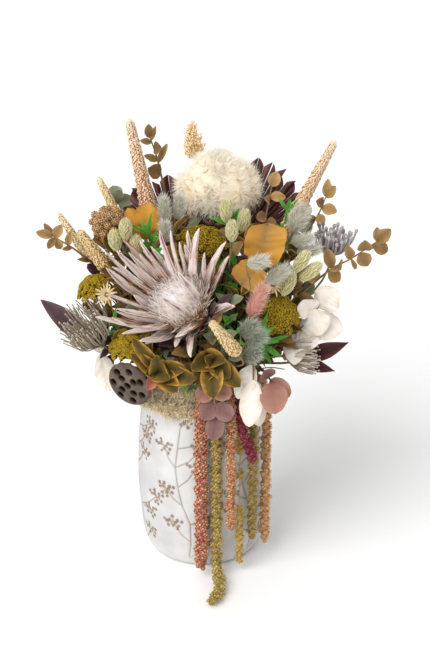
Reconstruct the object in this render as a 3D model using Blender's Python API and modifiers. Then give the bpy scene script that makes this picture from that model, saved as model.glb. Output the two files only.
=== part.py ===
# Dried flower arrangement in a ceramic vase, metres, Z up.
# The origin is the middle of the vase's flat base, and the front faces -Y.
# Every stem stands in its own plain hole in the foam plug that fills the vase.

import math
import random

import bmesh
import bpy
from mathutils import Vector

for old in list(bpy.data.objects):
    bpy.data.objects.remove(old, do_unlink=True)

# Sizes of the vase, the foam and the clearance between pieces
VASE_STEPS = 24
GAP = 0.0004
FOAM_TOP = 0.238
FOAM_EDGE = 0.0595
FLOOR_TOP = 0.008
HOLE_DEPTH = 0.0224
STEM_DEPTH = 0.022
ROOT_LEAN = 9.0
ROOT_SPACING = 0.0095
LEAF_THICK = 0.0009
PLAIN_RADIUS = 0.0025
HINT = (0.0, -1.0, 0.3)

OUTSIDE = [
    (0.0570, 0.0000), (0.0690, 0.0060), (0.0755, 0.0270), (0.0793, 0.0700), (0.0799, 0.1200),
    (0.0770, 0.1750), (0.0715, 0.2120), (0.0692, 0.2192), (0.0668, 0.2200),
]
INSIDE = [
    (0.0645, 0.2175), (0.0645, 0.2100), (0.0712, 0.1730), (0.0739, 0.1200), (0.0733, 0.0700),
    (0.0695, 0.0310), (0.0600, 0.0080),
]

# Collections: the finished pieces, and what is only used for cutting or fusing
PARTS = bpy.data.collections.new("flower_arrangement")
TOOLS = bpy.data.collections.new("cutters")
bpy.context.scene.collection.children.link(PARTS)
bpy.context.scene.collection.children.link(TOOLS)


def drop(pieces):
    """Removes objects together with their meshes."""
    for piece in list(pieces):
        mesh = piece.data
        bpy.data.objects.remove(piece, do_unlink=True)
        bpy.data.meshes.remove(mesh)


def place(name, bm, home):
    """Makes an object from a bmesh in a collection."""
    bm.normal_update()
    bmesh.ops.recalc_face_normals(bm, faces=bm.faces)
    mesh = bpy.data.meshes.new(name)
    bm.to_mesh(mesh)
    bm.free()
    piece = bpy.data.objects.new(name, mesh)
    home.objects.link(piece)
    if home is TOOLS:
        piece.hide_render = True
        piece.display_type = "WIRE"
    return piece


def settle(piece):
    """Applies the modifiers of an object."""
    graph = bpy.context.evaluated_depsgraph_get()
    mesh = bpy.data.meshes.new_from_object(piece.evaluated_get(graph))
    former = piece.data
    piece.modifiers.clear()
    piece.data = mesh
    bpy.data.meshes.remove(former)


def join(piece, others, kind="UNION"):
    """Fuses others with a piece, or cuts them from it, in one Boolean."""
    group = bpy.data.collections.new("operands")
    bpy.context.scene.collection.children.link(group)
    for other in others:
        group.objects.link(other)
    step = piece.modifiers.new("join", "BOOLEAN")
    step.operation = kind
    step.operand_type = "COLLECTION"
    step.collection = group
    step.solver = "MANIFOLD"
    settle(piece)
    drop(others)
    bpy.data.collections.remove(group)


def flatten(piece):
    """Merges the flat faces that lie in one plane."""
    bm = bmesh.new()
    bm.from_mesh(piece.data)
    bmesh.ops.dissolve_limit(bm, angle_limit=0.002, verts=bm.verts, edges=bm.edges)
    bm.to_mesh(piece.data)
    bm.free()


def keep_largest(piece):
    """Keeps the largest shell, so a small hollow that fusing sealed is filled."""
    bm = bmesh.new()
    bm.from_mesh(piece.data)
    left = set(bm.verts)
    shells = []
    while left:
        todo = [left.pop()]
        shell = []
        while todo:
            vert = todo.pop()
            shell.append(vert)
            for edge in vert.link_edges:
                other = edge.other_vert(vert)
                if other in left:
                    left.discard(other)
                    todo.append(other)
        shells.append(shell)
    shells.sort(key=len)
    scraps = [vert for shell in shells[:-1] for vert in shell]
    bmesh.ops.delete(bm, geom=scraps, context="VERTS")
    bm.to_mesh(piece.data)
    bm.free()


def paint(piece, colour, rough):
    """Gives an object its own plain material."""
    skin = bpy.data.materials.new(piece.name)
    skin.use_nodes = True
    shader = skin.node_tree.nodes["Principled BSDF"]
    shader.inputs["Base Color"].default_value = (*colour, 1.0)
    shader.inputs["Roughness"].default_value = rough
    skin.diffuse_color = (*colour, 1.0)
    piece.data.materials.clear()
    piece.data.materials.append(skin)


def finish(name, pieces, colour, rough=0.8):
    """Fuses the pieces of one plant into one painted node."""
    body = pieces[0]
    if len(pieces) > 1:
        join(body, pieces[1:])
        keep_largest(body)
    body.name = name
    body.data.name = name
    TOOLS.objects.unlink(body)
    PARTS.objects.link(body)
    body.hide_render = False
    body.display_type = "TEXTURED"
    paint(body, colour, rough)
    return body


def turned(name, profile, steps, home):
    """Turns a closed profile that starts and ends on the axis."""
    bm = bmesh.new()
    verts = [bm.verts.new((r, 0.0, z)) for r, z in profile]
    for low, high in zip(verts, verts[1:]):
        bm.edges.new((low, high))
    mesh = bpy.data.meshes.new(name)
    bm.to_mesh(mesh)
    bm.free()
    piece = bpy.data.objects.new(name, mesh)
    home.objects.link(piece)
    screw = piece.modifiers.new("turn", "SCREW")
    screw.steps = steps
    screw.render_steps = steps
    screw.use_merge_vertices = True
    screw.merge_threshold = 0.00001
    settle(piece)
    bm = bmesh.new()
    bm.from_mesh(piece.data)
    bmesh.ops.remove_doubles(bm, verts=bm.verts, dist=0.00001)
    bm.normal_update()
    bmesh.ops.recalc_face_normals(bm, faces=bm.faces)
    bm.to_mesh(piece.data)
    bm.free()
    return piece


def across(direction, hint):
    """Two unit vectors square to a direction, the second one close to the hint."""
    forward = direction.normalized()
    side = forward.cross(hint)
    if side.length < 0.01:
        side = forward.cross(Vector((1.0, 0.0, 0.1)))
    side.normalize()
    return side, side.cross(forward)


def sweep(points, radii, sides=6, knob=0.0, hint=HINT):
    """A closed round body along a bent line; knobs stand out in a chequered pattern."""
    count = len(points) - 1
    bm = bmesh.new()
    bmesh.ops.create_uvsphere(bm, u_segments=sides, v_segments=count, radius=1.0)
    side, over = across(points[1] - points[0], Vector(hint))
    frames = []
    for k in range(count + 1):
        direction = points[min(k + 1, count)] - points[max(k - 1, 0)]
        direction.normalize()
        side = (side - direction * side.dot(direction)).normalized()
        over = side.cross(direction)
        frames.append((side.copy(), over.copy()))
    for vert in bm.verts:
        level = 0.5 - math.asin(max(-1.0, min(1.0, vert.co.z))) / math.pi
        k = round(level * count)
        turn = math.atan2(vert.co.y, vert.co.x)
        slot = round(turn / (2.0 * math.pi) * sides)
        radius = radii[k]
        if radius > PLAIN_RADIUS:
            radius *= 1.0 + knob * (1.0 if (slot + k) % 2 else -1.0)
        side, over = frames[k]
        vert.co = points[k] + side * radius * math.cos(turn) + over * radius * math.sin(turn)
    return place("sweep", bm, TOOLS)


def leaf(base, tip, width, facing, rows=3, curl=0.5, fold=0.25, bias=1.0, blunt=0.8):
    """A thin closed blade from base to tip, folded at its midrib and bent back."""
    line = tip - base
    length = line.length
    forward = line.normalized()
    side, up = across(forward, Vector(facing))
    bm = bmesh.new()
    bmesh.ops.create_grid(bm, x_segments=2, y_segments=rows, size=1.0)
    for vert in bm.verts:
        step = min(1.0, max(0.0, vert.co.y * 0.5 + 0.5))
        reach = vert.co.x
        half = 0.5 * width * max(0.0, math.sin(math.pi * step ** bias)) ** blunt
        if step < 0.001 or step > 0.999:
            half = 0.0
        arch = up * (math.sin(math.pi * step) * curl * length * 0.25)
        edge = up * (fold * half * abs(reach))
        vert.co = base + forward * (length * step) + arch + side * (half * reach) + edge
    bmesh.ops.remove_doubles(bm, verts=bm.verts, dist=0.00001)
    bm.normal_update()
    bmesh.ops.recalc_face_normals(bm, faces=bm.faces)
    bmesh.ops.triangulate(bm, faces=bm.faces)
    bmesh.ops.solidify(bm, geom=bm.verts[:] + bm.edges[:] + bm.faces[:], thickness=LEAF_THICK)
    return place("leaf", bm, TOOLS)


def ball(centre, sizes, steps=1, rough=0.0, seed=0, spike=0.0):
    """A faceted lump, uneven or spiky, with its own half sizes."""
    draw = random.Random(seed)
    bm = bmesh.new()
    bmesh.ops.create_icosphere(bm, subdivisions=steps, radius=1.0)
    for vert in bm.verts:
        vert.co *= 1.0 + draw.uniform(-rough, rough)
    if spike:
        upper = [face for face in bm.faces if face.calc_center_median().z > -0.35]
        bmesh.ops.poke(bm, faces=upper, offset=spike)
    for vert in bm.verts:
        vert.co = Vector((vert.co.x * sizes[0], vert.co.y * sizes[1], vert.co.z * sizes[2]))
    for vert in bm.verts:
        vert.co += centre
    return place("ball", bm, TOOLS)


def aim(piece, origin, direction, hint=HINT):
    """Turns a piece made along +Z at the world's origin to a direction and moves it."""
    side, over = across(Vector(direction), Vector(hint))
    forward = Vector(direction).normalized()
    for vert in piece.data.vertices:
        x, y, z = vert.co
        vert.co = origin + side * x + over * y + forward * z
    bm = bmesh.new()
    bm.from_mesh(piece.data)
    bm.normal_update()
    bmesh.ops.recalc_face_normals(bm, faces=bm.faces)
    bm.to_mesh(piece.data)
    bm.free()
    return piece


# Where each plant's head begins, which way it points there, and its stem's radius
STEMS = {
    "millet_peach": ((-0.0534, 0.0120, 0.3928), (-0.15, 0.10, 1.0), 0.0016),
    "millet_yellow": ((-0.0905, 0.0270, 0.4035), (-0.45, 0.10, 1.0), 0.0012),
    "millet_far_left": ((-0.1288, -0.0050, 0.3796), (-0.60, 0.05, 1.0), 0.0012),
    "millet_near_left": ((-0.1060, -0.0350, 0.3798), (-0.55, -0.15, 1.0), 0.0013),
    "millet_right": ((0.0936, 0.0050, 0.4082), (0.42, 0.15, 1.0), 0.0016),
    "millet_front": ((0.0399, -0.1350, 0.3240), (-0.50, -0.30, 0.75), 0.0012),
    "palm_left": ((-0.0340, 0.0620, 0.3750), (-0.25, 0.40, 1.0), 0.0018),
    "palm_right": ((0.0430, 0.0680, 0.3750), (0.25, 0.45, 1.0), 0.0018),
    "palm_back": ((0.0050, 0.0850, 0.3350), (0.0, 0.80, 1.0), 0.0018),
    "plume": ((-0.0092, 0.0980, 0.4690), (-0.08, 0.05, 1.0), 0.0014),
    "cardoon": ((0.0160, 0.0350, 0.4000), (0.03, 0.02, 1.0), 0.0035),
    "bead_cluster": ((-0.1040, -0.0080, 0.4165), (-0.40, -0.15, 1.0), 0.0014),
    "phalaris_left": ((-0.0760, -0.0360, 0.3950), (-0.25, -0.40, 1.0), 0.0014),
    "phalaris_centre": ((0.0330, -0.0430, 0.4150), (0.05, -0.10, 1.0), 0.0014),
    "phalaris_right": ((0.0900, -0.0440, 0.3560), (0.35, -0.15, 1.0), 0.0014),
    "gold_leaf": ((-0.0642, -0.0110, 0.4050), (-0.05, -0.05, 1.0), 0.0013),
    "tails_left": ((-0.0360, -0.0260, 0.4180), (-0.02, -0.10, 1.0), 0.0014),
    "tails_right": ((0.0900, -0.0260, 0.4000), (0.40, -0.10, 1.0), 0.0014),
    "tails_middle": ((0.0560, -0.0700, 0.3560), (0.10, -0.40, 0.9), 0.0014),
    "tails_front": ((0.0420, -0.0950, 0.3050), (0.10, -0.80, 0.8), 0.0014),
    "yarrow_centre": ((-0.0017, -0.0230, 0.3970), (0.0, -0.30, 1.0), 0.0016),
    "yarrow_right": ((0.0790, -0.0640, 0.3330), (0.45, -0.60, 0.8), 0.0016),
    "yarrow_left": ((-0.1180, -0.0280, 0.3450), (-0.60, -0.15, 1.0), 0.0015),
    "yarrow_low": ((-0.0820, -0.0640, 0.2950), (-0.55, -0.65, 1.0), 0.0015),
    "ruscus_left": ((-0.0550, -0.0270, 0.3880), (-0.15, -0.15, 1.0), 0.0013),
    "ruscus_right": ((0.0880, -0.0060, 0.4050), (0.35, 0.0, 1.0), 0.0013),
    "ruscus_centre": ((0.0338, -0.0250, 0.4200), (0.05, -0.10, 1.0), 0.0013),
    "ruscus_front": ((0.0600, -0.0840, 0.3100), (0.15, -0.60, 0.8), 0.0013),
    "pincushion_right": ((0.1494, -0.0050, 0.3872), (0.05, 0.0, 1.0), 0.0014),
    "pincushion_left": ((-0.1150, -0.0620, 0.3000), (-0.60, -0.35, 0.9), 0.0015),
    "brush_right": ((0.0945, -0.0600, 0.2846), (1.0, -0.10, 0.1), 0.0014),
    "ochre_leaves": ((0.0640, -0.0500, 0.3880), (0.10, -0.30, 1.0), 0.0013),
    "king_protea": ((-0.0027, -0.0620, 0.3252), (-0.40, -0.50, 0.75), 0.0045),
    "dark_leaf_left": ((-0.1000, -0.0300, 0.2700), (-1.0, 0.0, 0.35), 0.0015),
    "dark_leaf_right": ((0.1050, -0.0300, 0.2620), (1.0, 0.0, 0.25), 0.0015),
    "lotus_pod": ((-0.0615, -0.0445, 0.2665), (-0.50, -0.85, -0.15), 0.0022),
    "eucalyptus_left": ((-0.1265, -0.0080, 0.3780), (-0.70, -0.1, 0.8), 0.0014),
    "eucalyptus_top": ((-0.0475, 0.0520, 0.4605), (-0.20, 0.05, 1.0), 0.0015),
    "eucalyptus_upper": ((0.0715, 0.0220, 0.4089), (0.20, 0.25, 1.0), 0.0015),
    "eucalyptus_side": ((0.1194, 0.0080, 0.4070), (0.50, 0.15, 1.0), 0.0015),
    "eucalyptus_long": ((0.1014, -0.0350, 0.3382), (0.85, -0.10, 0.75), 0.0016),
    "eucalyptus_back_left": ((-0.0700, 0.0700, 0.3400), (-0.60, 0.60, 0.9), 0.0015),
    "eucalyptus_back_right": ((0.0750, 0.0700, 0.3300), (0.65, 0.60, 0.8), 0.0015),
    "eucalyptus_pink": ((0.0100, -0.0950, 0.2700), (0.10, -1.0, -0.35), 0.0014),
    "olive_left": ((-0.0480, -0.0850, 0.2750), (-0.30, -1.0, 0.20), 0.0014),
    "olive_centre": ((0.0080, -0.0850, 0.2950), (0.10, -1.0, 0.10), 0.0014),
    "pale_leaves_front": ((0.0580, -0.0900, 0.2900), (0.15, -1.0, -0.10), 0.0014),
    "pale_leaves_right": ((0.1050, -0.0480, 0.3050), (0.90, -0.20, 0.50), 0.0014),
    "pink_leaves": ((0.0740, -0.0760, 0.2690), (0.25, -1.0, 0.0), 0.0014),
}

# The hanging strands: place in plan, lowest point, radius, and height over the foam
STRANDS = {
    "amaranth_rose": ((-0.0020, -0.0920), 0.0100, 0.0078, 0.012),
    "amaranth_olive": ((0.0160, -0.0890), 0.0000, 0.0068, 0.015),
    "amaranth_tan": ((0.0330, -0.1010), 0.0730, 0.0062, 0.022),
    "amaranth_beaded": ((0.0440, -0.0800), 0.0060, 0.0052, 0.014),
    "amaranth_burgundy": ((0.0690, -0.0850), 0.1600, 0.0062, 0.030),
    "amaranth_green": ((0.0595, -0.0690), 0.0400, 0.0062, 0.012),
    "amaranth_orange": ((0.0755, -0.0510), 0.0250, 0.0062, 0.014),
}


def spread_roots():
    """Sets each stem's root on the foam towards its head and spaces the roots out."""
    roots = {}
    for name, (head, _, _) in STEMS.items():
        reach = math.hypot(head[0], head[1])
        fall = math.atan2(reach, max(head[2] - 0.22, 0.02))
        radius = 0.050 * min(1.0, fall / math.radians(72.0))
        roots[name] = Vector((head[0], head[1])) * (radius / max(reach, 0.001))
    for name, (start, _, _, _) in STRANDS.items():
        roots[name] = Vector(start).normalized() * 0.0525
    for _ in range(300):
        for name, root in roots.items():
            for other, spot in roots.items():
                space = root - spot
                if other != name and space.length < ROOT_SPACING:
                    shift = space.normalized() * (ROOT_SPACING - space.length) * 0.25
                    roots[name] = roots[name] + shift
                    roots[other] = roots[other] - shift
            if roots[name].length > 0.0525:
                roots[name] = roots[name].normalized() * 0.0525
    return roots


ROOTS = spread_roots()
HOLES = {}


def stem_points(name, steps=3, sides=5):
    """The line of a stem: straight in its hole, then bent over to its head."""
    head, way, radius = STEMS[name]
    root = Vector((ROOTS[name].x, ROOTS[name].y, FOAM_TOP))
    lean = Vector((root.x * ROOT_LEAN, root.y * ROOT_LEAN, 1.0)).normalized()
    HOLES[name] = (root, lean, radius, sides, HINT)
    first = root + lean * 0.004
    last = Vector(head)
    length = (last - first).length
    bend_a = first + lean * (length * 0.35)
    bend_b = last - Vector(way).normalized() * (length * 0.35)
    points = [root - lean * STEM_DEPTH, root - lean * (STEM_DEPTH - 0.0006)]
    for k in range(steps + 1):
        t = k / steps
        s = 1.0 - t
        spot = first * s ** 3 + bend_a * (3 * s * s * t) + bend_b * (3 * s * t * t)
        points.append(spot + last * t ** 3)
    return points


def stem(name, sides=5):
    """A plain stem from its hole to just inside its head."""
    points = stem_points(name, 3, sides)
    radius = STEMS[name][2]
    way = Vector(STEMS[name][1]).normalized()
    points.append(points[-1] + way * 0.004)
    radii = [0.0] + [radius] * (len(points) - 2) + [0.0]
    radii[-2] = radius * 0.9
    return sweep(points, radii, sides)


def curve_points(knots, count):
    """Evenly spaced points on a smooth line through the knots."""
    knots = [Vector(knot) for knot in knots]
    points = []
    for k in range(count + 1):
        place_on = k / count * (len(knots) - 1)
        i = min(int(place_on), len(knots) - 2)
        t = place_on - i
        before = knots[max(i - 1, 0)]
        after = knots[min(i + 2, len(knots) - 1)]
        a, b = knots[i], knots[i + 1]
        lead = (b - before) * 0.5
        tail = (after - a) * 0.5
        spot = a * (2 * t ** 3 - 3 * t * t + 1) + lead * (t ** 3 - 2 * t * t + t)
        points.append(spot + b * (3 * t * t - 2 * t ** 3) + tail * (t ** 3 - t * t))
    return points


def spike(name, tip, width, colour, sides=6, rings=12, knob=0.12):
    """One long seed head that carries on from its stem, such as millet."""
    lower = stem_points(name, 4, sides)
    radius = STEMS[name][2]
    middle = (lower[-1] + Vector(tip)) * 0.5
    upper = curve_points([lower[-1], middle, tip], rings)
    radii = [0.0] + [radius] * (len(lower) - 1)
    for k in range(1, rings + 1):
        t = k / rings
        swell = min(1.0, (t / 0.12) ** 0.6) * (1.0 - 0.55 * max(0.0, t - 0.25) / 0.75)
        radii.append(width * 0.5 * swell)
    radii[-1] = 0.0
    return finish(name, [sweep(lower + upper[1:], radii, sides, knob)], colour)


def grow(name, line, thin, sides=5):
    """A stem from its hole that carries on as a thinner twig along a line."""
    lower = stem_points(name, 3, sides)
    radius = STEMS[name][2]
    points = lower + [Vector(spot) for spot in line]
    radii = [0.0] + [radius] * (len(lower) - 2)
    count = len(line) + 1
    for k in range(count):
        radii.append(radius + (thin - radius) * k / count)
    radii[-1] = 0.0
    return sweep(points, radii, sides)


HEAD_SHAPE = ((0.15, 0.85), (0.60, 0.92), (1.0, 0.0))


def tufts(name, heads, colour, sides=5):
    """A bunch of grass heads: each head's stem runs into the bunch's one stem."""
    fork = Vector(STEMS[name][0])
    way = Vector(STEMS[name][1]).normalized()
    lower = stem_points(name, 3, sides)
    pieces = []
    for k, (low, top, width) in enumerate(heads):
        low = Vector(low)
        top = Vector(top)
        along = (top - low).normalized()
        points = [fork - way * 0.003, fork - way * 0.002]
        radii = [0.0, 0.0009]
        if k == 0:
            points = lower[:-1] + [fork - way * 0.002]
            radii = [0.0] + [STEMS[name][2]] * (len(points) - 1)
        points += [(fork + low) * 0.5 + way * 0.004, low - along * 0.002]
        radii += [0.0009, 0.0009]
        for share, swell in HEAD_SHAPE:
            points.append(low.lerp(top, share))
            radii.append(width * 0.5 * swell)
        pieces.append(sweep(points, radii, sides))
    return finish(name, pieces, colour)


def twig_line(name, knots):
    """The points of a twig that carries on from a stem's end through knots."""
    return curve_points([STEMS[name][0]] + list(knots), 2 * len(knots))


def spray(name, knots, leaves, colour, rows=3, blunt=0.8):
    """A leafy twig: its line carries on from the stem, each leaf runs to its own tip."""
    line = twig_line(name, knots)
    pieces = [grow(name, line[1:], 0.0009)]
    for share, tip, width, facing in leaves:
        spot = line[0].lerp(line[1], 0.5)
        if share > 0.0:
            where = min(0.97, share) * (len(line) - 1)
            i = int(where)
            spot = line[i].lerp(line[i + 1], where - i)
        steps = 2 if width < 0.0125 else rows
        pieces.append(leaf(spot, Vector(tip), width, facing, steps, blunt=blunt))
    return finish(name, pieces, colour)


def twig_leaves(name, knots, count, length, width, lean, seed):
    """Leaf tips set alternately round a twig, with seeded small changes."""
    draw = random.Random(seed)
    line = twig_line(name, knots)
    leaves = []
    for k in range(count):
        share = (k + 0.6) / (count + 0.2)
        where = share * (len(line) - 1)
        i = int(where)
        spot = line[i].lerp(line[i + 1], where - i)
        along = (line[i + 1] - line[i]).normalized()
        side, over = across(along, Vector((0.0, -1.0, 0.3)))
        turn = k * 2.4 + draw.uniform(-0.3, 0.3)
        out = side * math.cos(turn) + over * math.sin(turn)
        size = length * draw.uniform(0.85, 1.1) * (1.0 - 0.3 * share)
        tip = spot + (along * lean + out).normalized() * size
        leaves.append((share, tip, width * draw.uniform(0.9, 1.1), along * 0.6 - out * 0.4))
    end = line[-1] + (line[-1] - line[-2]).normalized() * length * 0.5
    leaves.append((1.0, end, width * 0.8, (0.0, -1.0, 0.5)))
    return leaves


def fan(base, along, facing, reach, half_angle, pleats, ridge):
    """A pleated palm leaf: a grid bent into a fan, ridged and cut to points."""
    side, up = across(Vector(along), Vector(facing))
    forward = Vector(along).normalized()
    bm = bmesh.new()
    bmesh.ops.create_grid(bm, x_segments=2 * pleats, y_segments=2, size=1.0)
    for vert in bm.verts:
        step = vert.co.y * 0.5 + 0.5
        column = round((vert.co.x * 0.5 + 0.5) * 2 * pleats)
        angle = vert.co.x * half_angle
        crest = 1.0 if column % 2 else 0.0
        full = reach * (1.0 - 0.18 * abs(vert.co.x) ** 2)
        radius = 0.006 + (full - 0.006) * step
        if step > 0.9 and not crest:
            radius -= reach * 0.10
        lift = ridge * step * (crest - 0.5)
        flat = forward * math.cos(angle) + side * math.sin(angle)
        vert.co = base + flat * radius + up * lift
    bm.normal_update()
    bmesh.ops.recalc_face_normals(bm, faces=bm.faces)
    bmesh.ops.triangulate(bm, faces=bm.faces)
    bmesh.ops.solidify(bm, geom=bm.verts[:] + bm.edges[:] + bm.faces[:], thickness=0.0012)
    return place("fan", bm, TOOLS)


def palm(name, along, facing, reach, half_angle, pleats, colour):
    """A palm leaf and its stalk."""
    base = Vector(STEMS[name][0]) - Vector(along).normalized() * 0.006
    blade = fan(base, along, facing, reach, half_angle, pleats, 0.007)
    return finish(name, [stem(name), blade], colour)


def yarrow(name, width, colour):
    """A flat yarrow head: a knobbly dome over a short cone of stalks."""
    origin = Vector(STEMS[name][0])
    way = Vector(STEMS[name][1]).normalized()
    shape = [
        (0.0, 0.0), (0.002, 0.08), (0.010, 0.55), (0.014, 0.92), (0.019, 1.0), (0.025, 0.78),
        (0.029, 0.42), (0.0305, 0.0),
    ]
    points = [origin + way * height * (0.6 + width * 8.0) for height, _ in shape]
    radii = [width * 0.5 * share for _, share in shape]
    return finish(name, [stem(name), sweep(points, radii, 10, 0.09)], colour)


def pincushion(name, count, length, spread, colour, seed):
    """Curved styles with knobbed ends that spring from one small boss."""
    draw = random.Random(seed)
    origin = Vector(STEMS[name][0])
    way = Vector(STEMS[name][1]).normalized()
    side, over = across(way, Vector((0.0, -1.0, 0.3)))
    pieces = [stem(name)]
    pieces.append(ball(origin + way * 0.003, (0.0065, 0.0065, 0.0065), 1))
    for k in range(count):
        turn = k * 2.4
        lean = spread * math.sqrt((k + 0.5) / count)
        out = side * math.cos(turn) + over * math.sin(turn)
        size = length * draw.uniform(0.85, 1.05)
        low = origin + way * 0.004
        middle = low + (way * math.cos(lean) + out * math.sin(lean)) * size * 0.6
        high = low + (way * math.cos(lean * 0.75) + out * math.sin(lean * 0.75)) * size
        near = high.lerp(middle, 0.14)
        points = [low, low.lerp(middle, 0.3), middle, near, high.lerp(near, 0.4), high]
        pieces.append(sweep(points, [0.0, 0.0010, 0.0009, 0.0008, 0.0019, 0.0], 3))
    return finish(name, pieces, colour)


# The vase: one turned ceramic wall with a flat base and a rounded lip
vase = turned("vase", [(0.0, 0.0)] + OUTSIDE + INSIDE + [(0.0, FLOOR_TOP)], VASE_STEPS, PARTS)
paint(vase, (0.80, 0.79, 0.80), 0.75)

# Tall heads that carry on from their stems: millets and the peach plume
spike("millet_peach", (-0.0837, 0.0300, 0.5412), 0.0200, (0.66, 0.42, 0.27), 8, 13, 0.12)
spike("millet_yellow", (-0.1213, 0.0350, 0.4690), 0.0115, (0.78, 0.66, 0.42), 6, 9)
spike("millet_far_left", (-0.1664, 0.0000, 0.4380), 0.0105, (0.76, 0.66, 0.45), 6, 9)
spike("millet_near_left", (-0.1389, -0.0450, 0.4343), 0.0165, (0.80, 0.68, 0.44), 6, 8)
spike("millet_right", (0.1524, 0.0300, 0.5156), 0.0160, (0.80, 0.66, 0.42), 6, 13)
spike("millet_front", (0.0102, -0.1500, 0.3700), 0.0150, (0.84, 0.76, 0.58), 6, 8)
spike("plume", (-0.0137, 0.1000, 0.5180), 0.0300, (0.80, 0.60, 0.44), 8, 5, 0.12)

# Palm leaves: dark pleated fans behind the flowers
DARK_FAN = (0.16, 0.07, 0.08)
palm("palm_left", (-0.42, 0.35, 1.0), (0.0, -1.0, 0.3), 0.094, 0.80, 6, DARK_FAN)
palm("palm_right", (0.32, 0.45, 1.0), (0.0, -1.0, 0.3), 0.114, 0.85, 7, DARK_FAN)
palm("palm_back", (0.0, 0.85, 1.0), (0.0, -1.0, 0.9), 0.095, 0.95, 6, DARK_FAN)

# The big thistle head: a scaly cup that holds a broad brush of bristles
origin = Vector(STEMS["cardoon"][0])
way = Vector(STEMS["cardoon"][1]).normalized()
levels = ((0.0, 0.0), (0.001, 0.005), (0.012, 0.022), (0.026, 0.027), (0.038, 0.024), (0.042, 0.0))
cup = sweep([origin + way * high for high, _ in levels], [wide for _, wide in levels], 9)
pieces = [stem("cardoon", 6), cup]
for k in range(6):
    turn = k * math.pi / 3.0 + 0.3
    out = Vector((math.cos(turn), math.sin(turn), 0.0))
    low = origin + way * 0.008 + out * 0.011
    tip = origin + way * (0.014 + 0.004 * (k % 2)) + out * 0.038
    pieces.append(leaf(low, tip, 0.016, way, 2, 0.3, 0.2))
brush = ((0.022, 0.0), (0.024, 0.020), (0.032, 0.042), (0.046, 0.053), (0.062, 0.053),
         (0.078, 0.045), (0.092, 0.031), (0.101, 0.014), (0.103, 0.0))
bristles = sweep([origin + way * high for high, _ in brush], [wide for _, wide in brush], 14, 0.10)
for vert in bristles.data.vertices:
    vert.co.y = origin.y + (vert.co.y - origin.y) * 0.84
pieces.append(bristles)
finish("cardoon", pieces, (0.82, 0.74, 0.60))

# A cluster of round golden-brown buttons
origin = Vector((-0.1076, -0.0090, 0.4270))
pieces = [stem("bead_cluster"), ball(origin, (0.015, 0.015, 0.015), 1)]
for k in range(8):
    level = 1.0 - 2.0 * (k + 0.5) / 8.0
    turn = k * 2.4
    flat = math.sqrt(1.0 - level * level)
    spot = origin + Vector((flat * math.cos(turn), flat * math.sin(turn), level)) * 0.0140
    pieces.append(ball(spot, (0.0105, 0.0105, 0.0105), 1, 0.05, k))
finish("bead_cluster", pieces, (0.62, 0.40, 0.20))

# Bunches of grass heads: short oval canary grass and long soft hare's tails
PALE_GREEN = (0.62, 0.62, 0.42)
SAGE = (0.56, 0.56, 0.42)
tufts("phalaris_left", [
    ((-0.0870, -0.0450, 0.4230), (-0.0860, -0.0470, 0.4500), 0.018),
    ((-0.0965, -0.0470, 0.4110), (-0.1000, -0.0490, 0.4370), 0.018),
    ((-0.0745, -0.0450, 0.4040), (-0.0750, -0.0470, 0.4300), 0.018),
], PALE_GREEN)
tufts("phalaris_centre", [
    ((0.0268, -0.0440, 0.4450), (0.0268, -0.0460, 0.4720), 0.017),
    ((0.0334, -0.0620, 0.4290), (0.0334, -0.0660, 0.4550), 0.017),
    ((0.0450, -0.0440, 0.4340), (0.0490, -0.0460, 0.4610), 0.017),
], PALE_GREEN)
tufts("phalaris_right", [
    ((0.1038, -0.0600, 0.3905), (0.1201, -0.0620, 0.4174), 0.017),
    ((0.1108, -0.0600, 0.3806), (0.1352, -0.0620, 0.4028), 0.017),
    ((0.0914, -0.0700, 0.3665), (0.1033, -0.0720, 0.3948), 0.017),
], PALE_GREEN)
tufts("tails_left", [
    ((-0.0415, -0.0290, 0.4400), (-0.0440, -0.0310, 0.4720), 0.0125),
    ((-0.0270, -0.0240, 0.4400), (-0.0250, -0.0260, 0.4720), 0.0125),
    ((-0.0419, -0.0430, 0.4200), (-0.0419, -0.0470, 0.4480), 0.0125),
], SAGE)
tufts("tails_right", [
    ((0.1021, -0.0300, 0.4271), (0.1171, -0.0300, 0.4593), 0.021),
    ((0.1008, -0.0400, 0.4177), (0.1264, -0.0420, 0.4263), 0.0125),
    ((0.1078, -0.0400, 0.4061), (0.1349, -0.0440, 0.4123), 0.0125),
], SAGE)
tufts("tails_middle", [
    ((0.0496, -0.1030, 0.4181), (0.0735, -0.1050, 0.4240), 0.014),
    ((0.0715, -0.0850, 0.3891), (0.0967, -0.0870, 0.4080), 0.015),
    ((0.0533, -0.1120, 0.3586), (0.0704, -0.1160, 0.4010), 0.0165),
], SAGE, 6)
tufts("tails_front", [
    ((0.0440, -0.1180, 0.3400), (0.0580, -0.1310, 0.3570), 0.019),
    ((0.0500, -0.1180, 0.3300), (0.0680, -0.1300, 0.3450), 0.019),
    ((0.0470, -0.1140, 0.3100), (0.0610, -0.1290, 0.3210), 0.018),
], SAGE)

# Yarrow: mustard domes of tiny florets
MUSTARD = (0.60, 0.44, 0.12)
yarrow("yarrow_centre", 0.058, MUSTARD)
yarrow("yarrow_right", 0.052, MUSTARD)
yarrow("yarrow_left", 0.040, MUSTARD)
yarrow("yarrow_low", 0.038, MUSTARD)

# Springing styles with knobs, and the olive brush
pincushion("pincushion_right", 6, 0.036, 0.75, (0.55, 0.50, 0.52), 5)
pincushion("pincushion_left", 7, 0.056, 0.60, (0.60, 0.54, 0.46), 6)
pincushion("brush_right", 6, 0.036, 0.45, (0.42, 0.38, 0.26), 7)

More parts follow.
